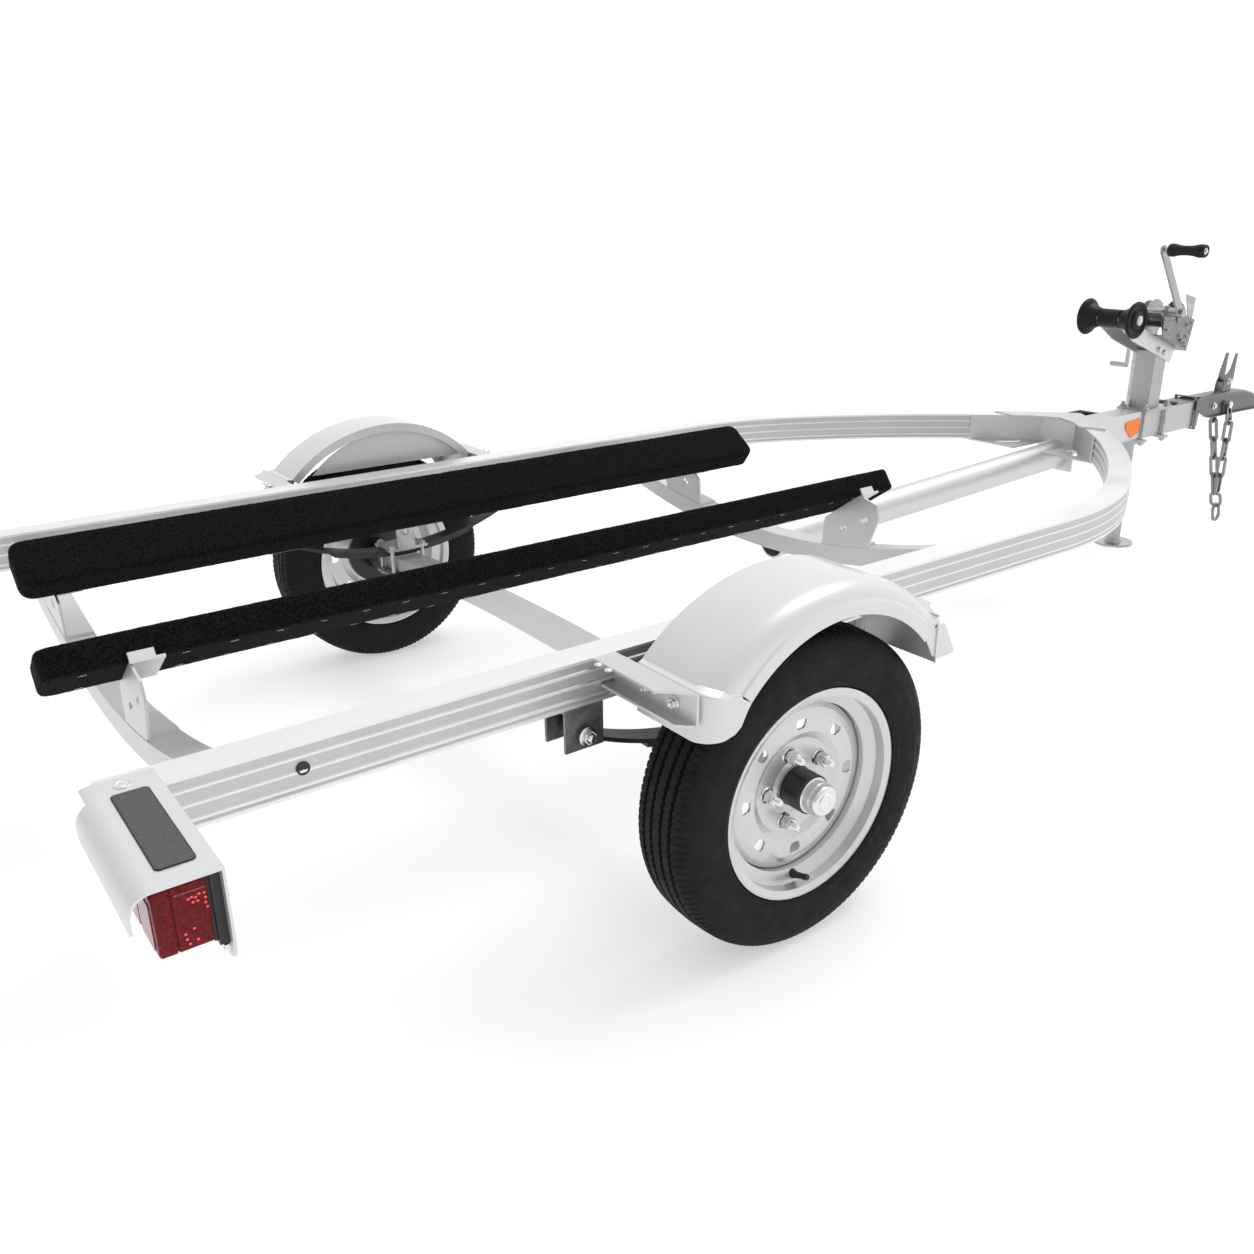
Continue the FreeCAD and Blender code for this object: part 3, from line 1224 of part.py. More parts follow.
def crank():
    """Shaft with its pinion, and a flat bar that leans back to the grip's pin."""
    bar = fuse(
        box("-crank_wide/2", "-crank_out", "0", "crank_wide", "crank_thick", "crank_reach"),
        rod("y", "0", "-crank_out", "0", "crank_wide/2", "crank_thick"),
        rod("y", "0", "-crank_out", "crank_reach", "crank_wide/2", "crank_thick"))
    shaft = rod("y", "0", "-crank_out-8", "0", "crank_pin",
                "crank_out+winch_far+winch_sheet+12")
    nut = rod("y", "0", "-crank_out-8", "0", "crank_pin+4", "8")
    collar = rod("y", "0", "-crank_out+crank_thick", "0", "crank_pin+4",
                 "crank_out-crank_thick-winch_in-winch_sheet-gap")
    pinion = toothed("-winch_in+gap", "pinion_rad", "pinion_teeth",
                     "360-arm_tilt-mesh_angle-crank_lean")
    stub = rod("y", "0", "-crank_out-12", "crank_reach", "6", "12")
    return at_crank(fuse(bar, shaft, nut, collar, pinion, stub))


def grip():
    """Rubber grip, slightly waisted behind its rounded end."""
    owner = body()
    sk = sketch(owner, "YZ_Plane", "0")
    end = "-crank_out-12-grip_long"
    outline(sk, [("-crank_out-12", "crank_reach"), ("-crank_out-12", "crank_reach+grip_rad-4"),
                 ("-crank_out-16", "crank_reach+grip_rad"),
                 ("-crank_out-50", "crank_reach+grip_rad-2"),
                 (end + "+20", "crank_reach+grip_rad"), (end + "+5", "crank_reach+grip_rad-2"),
                 (end, "crank_reach+grip_rad-8"), (end, "crank_reach")])
    axis = sk.addGeometry(Part.LineSegment(
        Vector(num("-crank_out-12"), num("crank_reach"), 0), Vector(num(end), num("crank_reach"),
                                                                  0)), True)
    pin(sk, axis, 1, "-crank_out-12", "crank_reach")
    pin(sk, axis, 2, end, "crank_reach")
    turn(owner, sk, "Axis0")
    return at_crank(owner)


node("winch_frame", winch_frame())
node("winch_drum", reel())
node("winch_crank", crank())
node("crank_grip", grip())


# Coupler, latch and safety chain.
def nose_plan(inset):
    """The coupler seen from above, less an inset."""
    half = "coupler_half-(%s)" % inset
    out = "socket_out-(%s)" % inset
    return [("axle_x+coupler_rear", "-" + half.replace("-(", "+(", 1)),
            ("axle_x+ball_x-240", "-" + half.replace("-(", "+(", 1)),
            ("axle_x+ball_x-90", "-(%s)+4" % out), ("axle_x+ball_x", "-(%s)" % out),
            ("axle_x+ball_x+%s" % out, "0", "axle_x+ball_x", "0"),
            ("axle_x+ball_x", out, "axle_x+ball_x", "0"),
            ("axle_x+ball_x-90", out + "-4"), ("axle_x+ball_x-240", half),
            ("axle_x+coupler_rear", half)]


def coupler():
    """Pressed-steel coupler: sleeve over the beam, tapering body with rounded top
    edges, socket for the ball, lower flange, latch ears and rear hook plate."""
    owner = body()
    sk = sketch(owner, "XY_Plane", "coupler_low")
    profile(sk, nose_plan("0"))
    block = pad(owner, sk, "tongue_low+tongue_tall+coupler_sheet-coupler_low")
    DOC.recompute()
    top = ["Face%d" % i for i, face in enumerate(block.Shape.Faces, 1)
           if face.BoundBox.ZMin > num("coupler_low") + 30]
    soft = owner.newObject("PartDesign::Fillet", fresh("Crown"))
    soft.Base = (block, top)
    bind(soft, Radius="coupler_round")
    inner = body()
    sk = sketch(inner, "XY_Plane", "coupler_low-5")
    skin = "coupler_sheet"
    side = "coupler_half-" + skin
    reach = "axle_x+ball_x-ball_rad-18"
    outline(sk, [("axle_x+coupler_rear-5", "-coupler_half+" + skin), (reach, "-coupler_half+"
                                                                     + skin),
                 (reach, side), ("axle_x+coupler_rear-5", side)])
    pad(inner, sk, "tongue_low+tongue_tall-coupler_low+5")
    ball = DOC.addObject("Part::Sphere", fresh("Ball"))
    bind(ball, Radius="ball_rad+gap")
    at(ball, "axle_x+ball_x", "0", "ball_z")
    mouth = rod("z", "axle_x+ball_x", "0", "coupler_low-5", "ball_rad+gap",
                "ball_z-coupler_low+5")
    rim_plan = body()
    sk = sketch(rim_plan, "XY_Plane", "coupler_low")
    profile(sk, nose_plan("-3.5"))
    pad(rim_plan, sk, skin)
    ears = [box("axle_x+latch_x-26", y, BEAM_TOP + "+1", "52", skin,
                "latch_z-tongue_low-tongue_tall+13")
            for y in ("10", "-10-" + skin)]
    pin_hole = rod("y", "axle_x+latch_x", "-20", "latch_z", "6+gap", "40")
    plate = box("axle_x+coupler_rear-130", "-coupler_half", BEAM_TOP, "132",
                "2*coupler_half", skin)
    curl = rod("y", "axle_x+coupler_rear-130", "-coupler_half", BEAM_TOP + "+5", "5",
               "2*coupler_half")
    strap = cut(box("axle_x+coupler_rear-14", "-coupler_half-4", "tongue_low-7", "16",
                    "2*coupler_half+8", "tongue_tall+7+" + skin),
                box("axle_x+coupler_rear-20", "-tongue_half", "tongue_low", "40",
                    "2*tongue_half", "tongue_tall"))
    bolt = [rod("y", "axle_x+chain_x", "chain_side-9", "chain_z", "chain_pin",
                "coupler_half+9-chain_side"),
            rod("y", "axle_x+chain_x", "chain_side-10", "chain_z", "chain_pin+5", "5"),
            rod("y", "axle_x+chain_x", "coupler_half-1", "chain_z", "chain_pin+5", "6")]
    return fuse(cut(fuse(owner, rim_plan, *ears), inner, ball, mouth, pin_hole), plate, curl,
                strap, *bolt)


def latch():
    """Lever on its pin between the ears, with a two-pronged thumb end."""
    lever = prism("XZ_Plane", "-10+gap", [
        ("axle_x+latch_x-14", "latch_z-12"), ("axle_x+latch_x+16", "latch_z-12"),
        ("axle_x+latch_x+20", "latch_z+6"), ("axle_x+latch_x+30", "latch_z+latch_tall-8"),
        ("axle_x+latch_x+22", "latch_z+latch_tall"), ("axle_x+latch_x+2", "latch_z+18"),
        ("axle_x+latch_x-12", "latch_z+10")], "20-2*gap")
    slot = box("axle_x+latch_x-20", "-6.5", "latch_z+14", "80", "13", "latch_tall")
    axle = rod("y", "axle_x+latch_x", "-15-coupler_sheet", "latch_z", "6",
               "30+2*coupler_sheet")
    heads = [rod("y", "axle_x+latch_x", y, "latch_z", "9", "5-gap")
             for y in ("10+coupler_sheet+gap", "-15-coupler_sheet")]
    return fuse(cut(lever, slot), axle, *heads)


node("coupler", coupler())
node("coupler_latch", latch())


# Safety chain: one strand on the bolt's outer end, one inside, both to one ring.
def link(long, wide, wire):
    """A flat racetrack link about the origin, long along Z, its hole along Y."""
    def race(inset, start, thick):
        reach = "(%s-%s)/2" % (long, wide)
        radius = "%s/2-%s" % (wide, inset)
        return fuse(box("-(%s)" % radius, start, "-" + reach, "2*(%s)" % radius, thick,
                        "2*" + reach),
                    rod("y", "0", start, reach, radius, thick),
                    rod("y", "0", start, "-" + reach, radius, thick))
    return cut(race("0", "-%s/2" % wire, wire), race(wire, "-" + wire, "2*" + wire))


def nip(radius, thick):
    """How far a square wire stays out of the round end of the next link."""
    return radius - math.sqrt(radius ** 2 - (thick / 2) ** 2)


def hang(piece, spot, way, spin):
    piece.Placement = Placement(
        spot, Rotation(Vector(0, 0, -1), way) * Rotation(Vector(0, 0, 1), spin))
    return piece


def chain():
    long, wide, wire = num("link_long"), num("link_wide"), num("link_wire")
    pin_rad, slack = num("chain_pin"), num("gap") * 0.7
    reach = long / 2 - wire / 2
    pitch = long - 2 * wire - 2 * nip(wide / 2 - wire, wire) - slack
    lean = math.radians(num("chain_lean"))
    first = reach - pin_rad - wire / 2 - slack
    pieces = []
    for side in ("chain_side", "chain_inner"):
        spot = Vector(num("axle_x+chain_x"), num(side), num("chain_z"))
        way = Vector(math.sin(lean), 0, -math.cos(lean))
        spot = spot + way * first
        end_y = math.copysign(wire / 2 + slack, num(side))
        for i in range(int(num("chain_links"))):
            pieces.append(hang(link("link_long", "link_wide", "link_wire"), spot, way,
                               90 * (i % 2)))
            if i == 0:
                turn_at = spot + way * reach
                left = pitch * (num("chain_links") - 1)
                across = (end_y - turn_at.y) / left
                fall = math.sqrt(1 - across ** 2)
                way = Vector(math.sin(lean) * fall, across, -math.cos(lean) * fall)
                spot = turn_at + way * (pitch - reach)
            else:
                spot = spot + way * pitch
        if side == "chain_side":
            low = spot - way * (pitch - reach)
    low = Vector(low.x, 0, low.z)
    way = Vector(math.sin(lean), 0, -math.cos(lean))
    inner = num("join_wide") / 2 - wire
    drop = (nip(inner, 2 * wire + 2 * slack + 1) + nip(wide / 2 - wire, wire) + slack
            - wire + num("join_long") / 2 - wire / 2)
    pieces.append(hang(link("join_long", "join_wide", "link_wire"), low + way * drop, way, 90))
    drop += (num("join_long") / 2 - wire / 2 - wire + nip(inner, wire)
             + nip(num("ring_wide") / 2 - wire, wire) + slack + num("ring_long") / 2 - wire / 2)
    pieces.append(hang(link("ring_long", "ring_wide", "link_wire"), low + way * drop, way, 0))
    return group(*pieces)


node("safety_chain", chain())


# Bolt-on jack on the left of the beam.
def jack_tube():
    """Outer tube with its cap, gear head and the saddle that bolts to the beam."""
    x, y = "axle_x+jack_x", "jack_y"
    tube = rod("z", x, y, "jack_low", "jack_rad", "jack_top-jack_low")
    collar = rod("z", x, y, "jack_low", "jack_rad+4", "14")
    cap = rod("z", x, y, "jack_top-10", "jack_rad+3", "10")
    saddle = box(x + "-24", "tongue_half+post_plate-1", "tongue_low+14", "48",
                 "jack_y-tongue_half-post_plate+1", "52")
    plate = box(x + "-46", "tongue_half", "tongue_low+6", "92", "post_plate", "70")
    heads = [rod("y", x + dx, "tongue_half+post_plate", z, "8", "6")
             for dx in ("-36", "+36") for z in ("tongue_low+20", "tongue_low+62")]
    boss = rod("y", x, y, "jack_top-32", "16", "jack_rad+3")
    bore = rod("z", x, y, "jack_low-5", "leg_rad+fit", "jack_top-jack_low-5")
    return cut(fuse(tube, collar, cap, saddle, plate, boss, *heads), bore)


def jack_leg():
    x, y = "axle_x+jack_x", "jack_y"
    return fuse(rod("z", x, y, "0", "foot_rad", "foot_thick"),
                cone("z", x, y, "foot_thick", "leg_rad+8", "leg_rad", "14"),
                rod("z", x, y, "foot_thick", "leg_rad", "leg_top-foot_thick"))


def jack_handle():
    """Side-wind handle at the top of the jack."""
    x, z = "axle_x+jack_x", "jack_top-32"
    seat = "jack_y+jack_rad+3"
    return fuse(rod("y", x, seat, z, "7", "23"),
                rod("y", x, seat, z, "13", "12"),
                box(x + "-7", seat + "+14", z + "-96", "14", "6", "96"),
                rod("y", x, seat + "+17", z + "-90", "8", "52"))


node("jack_tube", jack_tube())
node("jack_leg", jack_leg())
node("jack_handle", jack_handle())


# Output.
DOC.recompute()
broken = [obj.Label for obj in DOC.Objects
          if "Invalid" in obj.State or "Error" in obj.State]
if broken:
    raise SystemExit("not computed: " + ", ".join(broken))

os.makedirs("parts", exist_ok=True)
for name, obj in NODES.items():
    shape = obj.Shape
    if shape.isNull() or not shape.isValid() or not shape.Solids:
        raise SystemExit("bad shape: " + name)
    shape.exportStep("parts/" + name + ".step")
    print(name, len(shape.Solids), [round(v, 1) for v in (
        shape.BoundBox.XMin, shape.BoundBox.XMax, shape.BoundBox.YMin,
        shape.BoundBox.YMax, shape.BoundBox.ZMin, shape.BoundBox.ZMax)],
        round(shape.Volume / 1000.0, 1))
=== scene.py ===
import bpy
import bmesh
import math
import random
from mathutils import Matrix, Vector, noise


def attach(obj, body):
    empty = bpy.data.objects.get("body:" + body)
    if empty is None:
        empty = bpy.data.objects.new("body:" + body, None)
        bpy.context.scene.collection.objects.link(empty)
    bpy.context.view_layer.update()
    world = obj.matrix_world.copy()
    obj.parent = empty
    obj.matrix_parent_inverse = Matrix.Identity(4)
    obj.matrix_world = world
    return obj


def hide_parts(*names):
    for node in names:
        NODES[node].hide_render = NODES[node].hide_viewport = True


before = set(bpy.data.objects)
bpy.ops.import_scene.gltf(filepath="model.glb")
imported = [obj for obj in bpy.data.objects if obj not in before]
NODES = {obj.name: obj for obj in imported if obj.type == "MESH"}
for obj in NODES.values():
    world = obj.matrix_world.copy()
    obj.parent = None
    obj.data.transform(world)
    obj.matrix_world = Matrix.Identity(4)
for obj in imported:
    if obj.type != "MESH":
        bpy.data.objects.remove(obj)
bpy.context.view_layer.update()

SIDES = (("left", 1), ("right", -1))

# Places in the CAD model, in metres.
AXLE = -0.966
WHEEL_Y, WHEEL_Z = 0.724, 0.254
STUD_CIRCLE = 0.05715
RAIL_LOW, RAIL_TOP = 0.419, 0.487
GUARD_TOP = 0.490
DRUM_X, DRUM_Z = 1.209734, 0.729929
GRIP_X, GRIP_Z = 1.011, 0.928
LATCH_X, LATCH_Z = 1.668, 0.503

# Camera and light.
CAMERA_AT = (-2.0344, -1.7692, 1.0823)
YAW, PITCH, ROLL = 53.637, -21.346, -0.5
SENSOR, LENS = 36.0, 31.876
LIGHT_FROM = (0.75, 0.25, 0.45)
SUN_FROM = (0.55, -0.05, 1.0)
SKY_DARK, SKY_BRIGHT, SKY_SEEN = 0.50, 1.12, 1.3
SUN, SUN_WIDTH = 0.85, 28
FLOOR_TONE, FLOOR_GLOW = 0.58, 0.47


# Camera.
def camera():
    """The photograph's view: from behind on the right, a little above."""
    yaw, pitch, roll = (math.radians(v) for v in (YAW, PITCH, ROLL))
    look = Vector((math.cos(pitch) * math.cos(yaw), math.cos(pitch) * math.sin(yaw),
                   math.sin(pitch)))
    side = look.cross(Vector((0, 0, 1))).normalized()
    top = side.cross(look)
    right = side * math.cos(roll) + top * math.sin(roll)
    up = top * math.cos(roll) - side * math.sin(roll)
    turn = Matrix((right, up, -look)).transposed().to_4x4()
    turn.translation = CAMERA_AT
    data = bpy.data.cameras.new("camera")
    data.sensor_width = SENSOR
    data.lens = LENS
    data.clip_start = 0.05
    data.clip_end = 200
    obj = bpy.data.objects.new("camera", data)
    obj.matrix_world = turn
    bpy.context.scene.collection.objects.link(obj)
    bpy.context.scene.camera = obj


camera()


# Materials.
def tree(name, base, rough, metal=0.0, **plain):
    """A new material with plain values on its shader: the material, its nodes, the shader."""
    m = bpy.data.materials.new(name)
    m.use_nodes = True
    b = m.node_tree.nodes["Principled BSDF"]
    b.inputs["Base Color"].default_value = (*base, 1)
    b.inputs["Roughness"].default_value = rough
    b.inputs["Metallic"].default_value = metal
    for key, value in plain.items():
        b.inputs[key.replace("_", " ")].default_value = value
    return m, m.node_tree, b


def coords(t, scale=(1, 1, 1)):
    """Object coordinates, stretched by a scale."""
    c = t.nodes.new("ShaderNodeTexCoord")
    p = t.nodes.new("ShaderNodeMapping")
    p.inputs["Scale"].default_value = scale
    t.links.new(c.outputs["Object"], p.inputs["Vector"])
    return p.outputs["Vector"]


def clouds(t, where, scale, detail=4.0, rough=0.55):
    """Soft noise."""
    n = t.nodes.new("ShaderNodeTexNoise")
    n.inputs["Scale"].default_value = scale
    n.inputs["Detail"].default_value = detail
    n.inputs["Roughness"].default_value = rough
    t.links.new(where, n.inputs["Vector"])
    return n.outputs["Fac"]


def cells(t, where, scale, out="Distance"):
    """Cells: the distance to their middles, or a colour each."""
    n = t.nodes.new("ShaderNodeTexVoronoi")
    n.inputs["Scale"].default_value = scale
    t.links.new(where, n.inputs["Vector"])
    return n.outputs[out]


def spread(t, value, low, high, start=0.3, stop=0.7):
    """Map start..stop of a value to low..high."""
    n = t.nodes.new("ShaderNodeMapRange")
    n.inputs["From Min"].default_value = start
    n.inputs["From Max"].default_value = stop
    n.inputs["To Min"].default_value = low
    n.inputs["To Max"].default_value = high
    t.links.new(value, n.inputs["Value"])
    return n.outputs["Result"]


def ramp(t, value, stops):
    """Colours by a value, from (position, colour) pairs."""
    n = t.nodes.new("ShaderNodeValToRGB")
    e = n.color_ramp.elements
    while len(e) < len(stops):
        e.new(0.5)
    for item, (pos, col) in zip(e, stops):
        item.position = pos
        item.color = (*col, 1)
    t.links.new(value, n.inputs["Fac"])
    return n.outputs["Color"]


def bump(t, b, height, strength, distance=0.001, below=None):
    """Give the shader a bumpy normal, over another one if it is given."""
    n = t.nodes.new("ShaderNodeBump")
    n.inputs["Strength"].default_value = strength
    n.inputs["Distance"].default_value = distance
    t.links.new(height, n.inputs["Height"])
    if below is not None:
        t.links.new(below, n.inputs["Normal"])
    t.links.new(n.outputs["Normal"], b.inputs["Normal"])
    return n.outputs["Normal"]


def grey(v):
    """A grey with a trace of blue."""
    return (v, v * 1.002, v * 1.008)


def brushed(name, tone, rough, along, metal=0.9, marks=0.05):
    """Aluminium or steel with a fine grain along one axis and faint handling marks."""
    m, t, b = tree(name, grey(tone), rough, metal)
    stretch = {"x": (3, 420, 420), "y": (420, 3, 420), "z": (420, 420, 3),
               "none": (300, 300, 300)}[along]
    grain = clouds(t, coords(t, stretch), 1.0, 3.0)
    dull = clouds(t, coords(t), 7.0, 5.0)
    t.links.new(ramp(t, dull, [(0.3, grey(tone * (1 - marks))), (0.7, grey(tone))]),
                b.inputs["Base Color"])
    mixed = t.nodes.new("ShaderNodeMath")
    mixed.operation = "MULTIPLY_ADD"
    mixed.inputs[1].default_value = 0.6
    t.links.new(grain, mixed.inputs[0])
    t.links.new(dull, mixed.inputs[2])
    t.links.new(spread(t, mixed.outputs[0], rough - 0.07, rough + 0.09, 0.5, 1.1),
                b.inputs["Roughness"])
    bump(t, b, grain, 0.12, 0.0002)
    return m


def rail_bands_painted_light(name, low, high, edges, dark, light):
    """Rail side: bands by height along the side, painted highlight on the proud ribs, painted
    shade in the grooves.
    """
    m, t, b = tree(name, grey(light), 0.42, 0.85)
    where = coords(t)
    parts = t.nodes.new("ShaderNodeSeparateXYZ")
    t.links.new(where, parts.inputs[0])
    level = spread(t, parts.outputs["Z"], 0, 1, low, high)
    stops, soft = [], 0.008
    # light is the ribs' painted highlight and dark the grooves' painted shade.
    tone = (grey(light), grey(dark))
    for i, depth in enumerate(edges):
        pos = 1 - depth / (high - low)
        stops += [(pos + soft, tone[i % 2]), (pos - soft, tone[(i + 1) % 2])]
    t.links.new(ramp(t, level, sorted(stops, key=lambda s: s[0])), b.inputs["Base Color"])
    grain = clouds(t, coords(t, (3, 420, 420)), 1.0, 3.0)
    t.links.new(spread(t, clouds(t, where, 6.0), 0.36, 0.50), b.inputs["Roughness"])
    bump(t, b, grain, 0.12, 0.0002)
    return m


def spangled(name, tone, rough, scale=90.0):
    """Zinc coating: crystals of slightly different greys."""
    m, t, b = tree(name, grey(tone), rough, 0.85)
    where = coords(t)
    crystal = cells(t, where, scale, out="Color")
    pick = t.nodes.new("ShaderNodeSeparateColor")
    t.links.new(crystal, pick.inputs["Color"])
    t.links.new(ramp(t, pick.outputs["Red"], [(0.0, grey(tone * 0.84)), (1.0, grey(tone * 1.1))]),
                b.inputs["Base Color"])
    t.links.new(spread(t, pick.outputs["Green"], rough - 0.08, rough + 0.1, 0, 1),
                b.inputs["Roughness"])
    bump(t, b, clouds(t, where, 260.0), 0.15, 0.0003)
    return m


def painted(name, tone, rough, metal=0.35):
    """Silver paint under a thin clear coat."""
    m, t, b = tree(name, grey(tone), rough, metal, Coat_Weight=0.35, Coat_Roughness=0.12)
    where = coords(t)
    t.links.new(ramp(t, clouds(t, where, 5.0), [(0.3, grey(tone * 0.97)), (0.7, grey(tone))]),
                b.inputs["Base Color"])
    t.links.new(spread(t, clouds(t, where, 11.0), rough - 0.04, rough + 0.06),
                b.inputs["Roughness"])
    bump(t, b, clouds(t, where, 900.0, 2.0), 0.05, 0.0002)
    return m


def rubber(name, tone, rough, grain, strength):
    """Rubber with cloudy wear and a fine grain."""
    m, t, b = tree(name, grey(tone), rough, Specular_IOR_Level=0.18)
    where = coords(t)
    t.links.new(ramp(t, clouds(t, where, 18.0, 6.0),
                     [(0.3, grey(tone * 0.75)), (0.75, grey(tone * 1.35))]),
                b.inputs["Base Color"])
    t.links.new(spread(t, clouds(t, where, 45.0), rough - 0.08, rough + 0.1),
                b.inputs["Roughness"])
    bump(t, b, clouds(t, where, grain), strength, 0.0004)
    return m


def plastic(name, base, rough, **plain):
    """Moulded plastic or thick paint, faintly mottled."""
    m, t, b = tree(name, base, rough, **plain)
    where = coords(t)
    dark = tuple(v * 0.86 for v in base)
    t.links.new(ramp(t, clouds(t, where, 26.0), [(0.35, dark), (0.7, base)]),
                b.inputs["Base Color"])
    bump(t, b, clouds(t, where, 500.0), 0.08, 0.0003)
    return m


def carpet(name):
    """Black felt of short tufts."""
    m, t, b = tree(name, grey(0.02), 0.95, Specular_IOR_Level=0.04, Sheen_Weight=0.025,
                   Sheen_Roughness=0.6)
    where = coords(t)
    tuft = cells(t, where, 260.0)
    t.links.new(ramp(t, tuft, [(0.0, grey(0.017)), (0.55, grey(0.005)), (1.0, grey(0.002))]),
                b.inputs["Base Color"])
    first = bump(t, b, clouds(t, coords(t), 160.0, 6.0, 0.7), 0.6, 0.002)
    bump(t, b, tuft, 0.7, 0.0015, below=first)
    return m


def lens_red(name):
    """Moulded red plastic with a fine prism pattern."""
    m, t, b = tree(name, (0.18, 0.004, 0.008), 0.2, Coat_Weight=0.04, Coat_Roughness=0.06,
                   Specular_IOR_Level=0.2)
    prism = cells(t, coords(t), 230.0)
    t.links.new(ramp(t, prism, [(0.0, (0.24, 0.003, 0.006)), (0.5, (0.15, 0.002, 0.004)),
                                (1.0, (0.06, 0.001, 0.002))]), b.inputs["Base Color"])
    bump(t, b, prism, 0.35, 0.0006)
    return m


def reflex(name, base, painted_highlight):
    """Reflex plastic: a fine honeycomb of prisms, with painted highlight in their middles and
    painted shade at their edges.
    """
    m, t, b = tree(name, base, 0.2, Coat_Weight=0.1, Coat_Roughness=0.06,
                   Specular_IOR_Level=0.25)
    prism = cells(t, coords(t), 300.0)
    # Cell middles take the painted highlight, cell edges a painted shade darker than the base.
    t.links.new(ramp(t, prism, [(0.0, painted_highlight), (0.6, base), (1.0, tuple(v * 0.6 for v in base))]),
                b.inputs["Base Color"])
    bump(t, b, prism, 0.3, 0.0005)
    return m


def grit(name):
    """Step strip with a coarse dark grit."""
    m, t, b = tree(name, grey(0.1), 0.9)
    speck = cells(t, coords(t), 900.0)
    t.links.new(ramp(t, speck, [(0.0, grey(0.15)), (0.5, grey(0.10)), (1.0, grey(0.05))]),
                b.inputs["Base Color"])
    bump(t, b, speck, 0.8, 0.0006)
    return m


M = {
    # The rail's colour bands are painted highlight on its ribs and painted shade in its grooves.
    "rail": rail_bands_painted_light("rail_aluminium_painted_light", RAIL_LOW, RAIL_TOP,
                   (0.0045, 0.017, 0.020, 0.036, 0.039, 0.055, 0.058, 0.0635), 0.56, 0.82),
    "cross": brushed("cross_aluminium", 0.66, 0.44, "y"),
    "satin": brushed("satin_aluminium", 0.66, 0.42, "none"),
    # The bow post's tone, lower than the other aluminium, is painted shade of its side faces.
    "post": brushed("post_aluminium_painted_shade", 0.46, 0.42, "z"),
    "guard": brushed("guard_sheet", 0.72, 0.46, "none", 0.75, 0.03),
    "fender": painted("fender_paint", 0.70, 0.34),
    "rim": painted("rim_paint", 0.66, 0.28, 0.6),
    "zinc": spangled("zinc", 0.50, 0.40),
    # The tongue beam's tone, lower than the other aluminium, is painted shade of its side faces.
    "tongue": brushed("tongue_aluminium_painted_shade", 0.54, 0.42, "x"),
    "drum": brushed("drum_steel", 0.46, 0.26, "none", 1.0, 0.2),
    "chain": brushed("chain_zinc", 0.30, 0.30, "none", 1.0, 0.3),
    # The hangers' dark tone, far below the other zinc, is painted shade of their side faces.
    "hanger": spangled("hanger_zinc_painted_shade", 0.22, 0.42),
    "steel": brushed("bright_steel", 0.78, 0.24, "none", 1.0),
    # The coupler's and latch's dark tone is painted shade of their side faces.
    "pressed": brushed("pressed_steel_painted_shade", 0.19, 0.32, "none", 0.95, 0.2),
    # The winch frame's and drum's darker zinc is painted shade of their side faces.
    "zinc_painted_shade": spangled("zinc_painted_shade", 0.27, 0.38, 140.0),
    "spring": plastic("spring_paint", (0.022, 0.022, 0.023), 0.42),
    "hub": plastic("hub_paint", (0.014, 0.014, 0.015), 0.34),
    "tyre": rubber("tyre_rubber", 0.0085, 0.66, 900.0, 0.3),
    "roller": rubber("roller_rubber", 0.013, 0.42, 500.0, 0.12),
    "black": plastic("black_plastic", (0.012, 0.012, 0.013), 0.38),
    "carpet": carpet("bunk_carpet"),
    "lens": lens_red("lens_red"),
    "led": plastic("led_red", (0.95, 0.03, 0.02), 0.15, Coat_Weight=1.0,
                   Emission_Color=(1, 0.05, 0.03, 1), Emission_Strength=0.35),
    "reflex_red": reflex("reflex_red", (0.30, 0.05, 0.07), (0.46, 0.14, 0.17)),
    "amber": reflex("reflex_amber", (0.95, 0.20, 0.008), (1.0, 0.30, 0.02)),
    "grit": grit("step_grip"),
    "edge": plastic("strip_edge", (0.01, 0.01, 0.01), 0.5),
}

# Nodes by finish; a name that ends in "_" stands for its left and right nodes.
FINISH = {
    "rail": ["rail_"],
    "cross": ["crossmember_rear", "crossmember_front", "axle_beam"],
    "satin": ["winch_arm", "nose_gusset", "tongue_tube", "bunk_bracket_rear_",
              "bunk_bracket_front_", "fender_arm_rear_", "fender_arm_front_"],
    "post": ["bow_post"],
    "tongue": ["tongue_beam"],
    "chain": ["safety_chain"],
    "guard": ["lamp_guard_"],
    "fender": ["fender_"],
    "rim": ["rim_"],
    "hanger": ["spring_hangers_"],
    "zinc": ["spring_clamp_", "post_ubolt_rear", "post_ubolt_front", "jack_tube"],
    "steel": ["hub_cap_"],
    "drum": ["winch_crank", "jack_leg", "jack_handle"],
    "pressed": ["coupler", "coupler_latch"],
    "zinc_painted_shade": ["winch_frame", "winch_drum"],
    "spring": ["leaf_spring_"],
    "hub": ["hub_"],
    "tyre": ["tyre_"],
    "roller": ["bow_roller", "crank_grip"],
    "black": ["lamp_base_"],
    "lens": ["lamp_lens_"],
    "amber": ["side_reflector_"],
    "carpet": ["bunk_"],
}
for finish, names in FINISH.items():
    for name in names:
        for label, _ in SIDES if name.endswith("_") else (("", 0),):
            node = NODES[name + label]
            if not node.material_slots:
                node.data.materials.append(M[finish])
            for item in node.material_slots:
                item.material = M[finish]


# Building pieces.
def place(name, bm, finish, rides):
    """Turn a bmesh into an object of one finish that rides on a body."""
    mesh = bpy.data.meshes.new(name)
    bm.to_mesh(mesh)
    bm.free()
    mesh.materials.append(M[finish])
    mesh.polygons.foreach_set("use_smooth", [True] * len(mesh.polygons))
    obj = bpy.data.objects.new(name, mesh)
    bpy.context.scene.collection.objects.link(obj)
    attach(obj, rides)
    return obj


